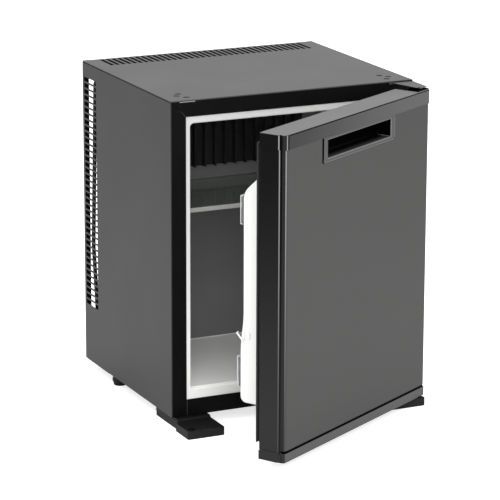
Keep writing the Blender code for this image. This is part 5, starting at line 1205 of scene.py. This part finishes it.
set_open("bottle_clip_finger", bm, white_door, slot="white_plastic")

# Gasket. A soft extruded seal with a bellows and a magnet tube, welded at its mitred corners, is pressed
# into the groove round the door lining.
SEAL_SECTION = (
    (0.0020, 0.00), (0.0120, 0.00), (0.0120, 0.17), (0.0102, 0.28), (0.0118, 0.41), (0.0104, 0.54),
    (0.0132, 0.58), (0.0140, 0.67), (0.0140, 0.92), (0.0132, 1.00), (0.0014, 1.00), (0.0004, 0.95),
    (0.0000, 0.82), (0.0006, 0.65), (0.0026, 0.56), (0.0014, 0.43), (0.0030, 0.30), (0.0016, 0.17),
)
RING_HALF = 0.02
seal_low, seal_high = (corner + place for place in closed_box("door_gasket"))
seal_size = seal_high - seal_low
seal_centre = (seal_low + seal_high) / 2
bm = bmesh.new()
section = []
for inset, share in SEAL_SECTION:
    arm = RING_HALF - inset
    section.append(bm.verts.new((seal_centre.x + arm, seal_low.y + share * seal_size.y, seal_centre.z + arm)))
section_edges = [bm.edges.new((section[index - 1], section[index])) for index in range(len(section))]
bmesh.ops.spin(
    bm, geom=section + section_edges, cent=seal_centre, axis=(0.0, 1.0, 0.0), angle=2 * pi, steps=4,
    use_merge=True
)
bmesh.ops.remove_doubles(bm, verts=bm.verts, dist=MERGE)
for vert in bm.verts:
    for axis in (0, 2):
        stretch = seal_size[axis] / 2 - RING_HALF
        vert.co[axis] += stretch if vert.co[axis] > seal_centre[axis] else -stretch
bmesh.ops.recalc_face_normals(bm, faces=bm.faces)
seal_rubber, place = new_finish("seal_rubber", Specular_IOR_Level=0.3)
dust = noise(place, 0.004, 3.0)
apply_finish(seal_rubber, between(dust, 0.012, 0.022), 0.55 + 0.2 * dust, dust, 0.00004)
set_open("door_gasket_moulded", bm, seal_rubber, "door_gasket", sharp=30)

# Hinge bushes. White acetal sleeves pressed into the caps, in which the pins turn. The lower one sits on
# the lower hinge plate, whose tongue the foot hides.
for node in ("upper_hinge_bush", "lower_hinge_bush"):
    dress(node, white_plastic, 0.0001)

# Cooling unit. Black enamelled steel tubes and vessels, welded into one circuit and hung on the back
# plate by a bracket. The boiler stands in a zinc-plated jacket with the heater cartridge beside it.
for node in ("absorber_coil", "boiler_tube", "condenser_tube", "vent_tube"):
    dress(node, black_paint, 0.0008, 2, 20)
dress("unit_bracket", black_paint, 0.0005)
dress("condenser_fins", black_aluminium, 0.0002)
DOME = 0.010
WELD_RISE = 0.0006
vessel_low, vessel_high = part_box("absorber_vessel")
vessel_radius = (vessel_high.z - vessel_low.z) / 2
vessel_half = (vessel_high.x - vessel_low.x) / 2
weld_foot = vessel_radius - WELD_RISE
vessel_end = (
    (0.0, 0.0), (0.0, vessel_radius * 0.45), (DOME * 0.25, vessel_radius * 0.78),
    (DOME * 0.60, vessel_radius * 0.94), (DOME, weld_foot), (DOME + 0.001, vessel_radius),
    (DOME + 0.004, vessel_radius), (DOME + 0.005, weld_foot),
)
vessel = [(along - vessel_half, radius) for along, radius in vessel_end]
vessel += [(vessel_half - along, radius) for along, radius in reversed(vessel_end)]
bm = bmesh.new()
spun(bm, vessel, (vessel_low + vessel_high) / 2, RIGHTWARD, 64)
set_down("absorber_vessel_welded", bm, black_paint, "cabinet", "absorber_vessel")

STRAP_RISE = 0.0008
STRAP_WIDTH = 0.0080
STRAP_LEVELS = (0.14, 0.86)
SEAM_WIDTH = 0.0060
WELD_WIDTH = 0.0050
jacket_low, jacket_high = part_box("boiler_jacket")
jacket_centre = (jacket_low + jacket_high) / 2
jacket_radius = (jacket_high.x - jacket_low.x) / 2
bm = copy_of("boiler_jacket")
round_edges(bm, 0.0012, 3)
rounded_box(
    bm,
    (jacket_centre.x - SEAM_WIDTH / 2, jacket_high.y - 0.0010, jacket_low.z + 0.002),
    (jacket_centre.x + SEAM_WIDTH / 2, jacket_high.y + 0.0006, jacket_high.z - 0.002),
    0.0005,
)
set_down("boiler_jacket_dressed", bm, zinc, "cabinet", "boiler_jacket")
strap_ring = ring_section(jacket_radius - 0.0004, jacket_radius + STRAP_RISE, STRAP_WIDTH)
bm = bmesh.new()
for level in STRAP_LEVELS:
    strap = Vector((jacket_centre.x, jacket_centre.y, jacket_low.z + level * (jacket_high.z - jacket_low.z)))
    spun(bm, strap_ring, strap, UPRIGHT, 64)
    rounded_box(
        bm,
        strap + Vector((jacket_radius * 0.55, jacket_radius * 0.80, 0.0004)),
        strap + Vector((jacket_radius * 0.85, jacket_radius * 0.98, STRAP_WIDTH - 0.0004)),
        0.0006,
    )
set_down("boiler_jacket_straps", bm, black_paint, "cabinet", slot="black_paint")
dress("heater_cartridge", zinc, 0.0004)
tube_low, tube_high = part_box("boiler_tube")
tube_radius = (tube_high.y - tube_low.y) / 2
weld = [
    (WELD_WIDTH * share, tube_radius + rise)
    for share, rise in ((0.0, -0.0003), (0.25, 0.0009), (0.75, 0.0009), (1.0, -0.0003), (0.0, -0.0003))
]
bm = bmesh.new()
for weld_z in (jacket_high.z + 0.004, jacket_low.z - 0.010):
    spun(bm, weld, Vector((jacket_centre.x, jacket_centre.y, weld_z)), UPRIGHT, 32)
set_down("boiler_tube_welds", bm, black_paint, "cabinet", slot="black_paint")

# Control box and inlet. A black box on the tray feeds the heater; the mains inlet in its back has three
# flat pins. The heater's lead is a fixed rubber one.
box_plastic = moulded_plastic("control_box_plastic", 0.010, 0.5, 0.0009, 0.00006, 0.35)
dress("control_box", box_plastic)
dress("mains_inlet", box_plastic, 0.0005)
PIN_SPREAD = 0.0070
PIN_LENGTH = 0.0070
PIN_SEAT = 0.0015
PIN_HALF = Vector((0.0010, 0.0, 0.0020))
inlet_low, inlet_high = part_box("mains_inlet")
inlet_centre = (inlet_low + inlet_high) / 2
bm = bmesh.new()
for shift, rise in ((-PIN_SPREAD, -0.002), (0.0, 0.002), (PIN_SPREAD, -0.002)):
    pin = Vector((inlet_centre.x + shift, inlet_low.y + PIN_SEAT, inlet_centre.z + rise))
    rounded_box(bm, pin - PIN_HALF, pin + PIN_HALF + Vector((0.0, PIN_LENGTH, 0.0)), 0.0004, 2)
set_down("mains_inlet_pins", bm, zinc, "cabinet", slot="zinc")
dress("heater_lead", seal_rubber, 0.0004, 2, 20)

# Stage: a plain pale floor that keeps the shadow, a white background and two soft lamps, one overhead and
# one in front.
FLOOR_GLOW = 0.72
AMBIENT = 0.88
floor_material = bpy.data.materials.new("studio_floor")
floor_material.use_nodes = True
tree = floor_material.node_tree
paper = tree.nodes["Principled BSDF"]
paper.inputs["Base Color"].default_value = (0.80, 0.80, 0.80, 1.0)
paper.inputs["Roughness"].default_value = 0.9
paper.inputs["Specular IOR Level"].default_value = 0.0
rays = Value(tree).node("LightPath", output="Is Camera Ray")
glow = rays.node("Emission", {}, {"Color": (1.0, 1.0, 1.0, 1.0), "Strength": rays * FLOOR_GLOW})
both = tree.nodes.new("ShaderNodeAddShader")
tree.links.new(paper.outputs[0], both.inputs[0])
tree.links.new(glow.socket, both.inputs[1])
tree.links.new(both.outputs[0], tree.nodes["Material Output"].inputs["Surface"])
bm = bmesh.new()
bmesh.ops.create_grid(bm, x_segments=1, y_segments=1, size=20.0)
bmesh.ops.translate(bm, vec=(0.0, 0.0, packed_bounds[0][2]), verts=bm.verts)
floor_mesh = bpy.data.meshes.new("studio_floor")
bm.to_mesh(floor_mesh)
bm.free()
floor = bpy.data.objects.new("studio_floor", floor_mesh)
floor_mesh.materials.append(floor_material)
bpy.context.scene.collection.objects.link(floor)

world = bpy.data.worlds.new("studio")
bpy.context.scene.world = world
world.use_nodes = True
sky = world.node_tree
seen, mirrored, passed = (
    Value(sky).node("LightPath", output="Is %s Ray" % kind) for kind in ("Camera", "Glossy", "Transmission")
)
white = seen.math("MAXIMUM", seen.math("MAXIMUM", seen, mirrored), passed)
background = sky.nodes["Background"]
sky.links.new((AMBIENT + (1.0 - AMBIENT) * white).socket, background.inputs["Strength"])
background.inputs["Color"].default_value = (1.0, 1.0, 1.0, 1.0)
MIDDLE = Vector((0.0, 0.0, 0.25))
for name, place, size, power in (
    ("overhead_softbox", Vector((0.0, 0.1, 2.2)), 1.6, 20.0),
    ("front_softbox", Vector((-0.80, -2.5, 1.75)), 1.8, 57.0),
):
    light = bpy.data.lights.new(name, "AREA")
    light.size = size
    light.energy = power
    lamp = bpy.data.objects.new(name, light)
    lamp.location = place
    lamp.rotation_euler = (MIDDLE - place).to_track_quat("-Z", "Y").to_euler()
    bpy.context.scene.collection.objects.link(lamp)

# Camera: the photograph's own view, from the front left and a little above. The long lens stands well back,
# and the last turn is the camera's slight roll.
CAMERA_PLACE = (-1.80583, -3.72210, 1.34547)
CAMERA_TURNS = ((-25.248, "Z"), (90.0 - 14.910, "X"), (0.184, "Z"))
LENS = 202.1
camera_data = bpy.data.cameras.new("photo_camera")
camera_data.lens = LENS
camera_data.sensor_width = 36.0
camera = bpy.data.objects.new("photo_camera", camera_data)
view = Matrix.Translation(CAMERA_PLACE)
for turn, axis in CAMERA_TURNS:
    view = view @ Matrix.Rotation(radians(turn), 4, axis)
camera.matrix_world = view
bpy.context.scene.collection.objects.link(camera)
bpy.context.scene.camera = camera
bpy.context.scene.view_settings.view_transform = "Standard"
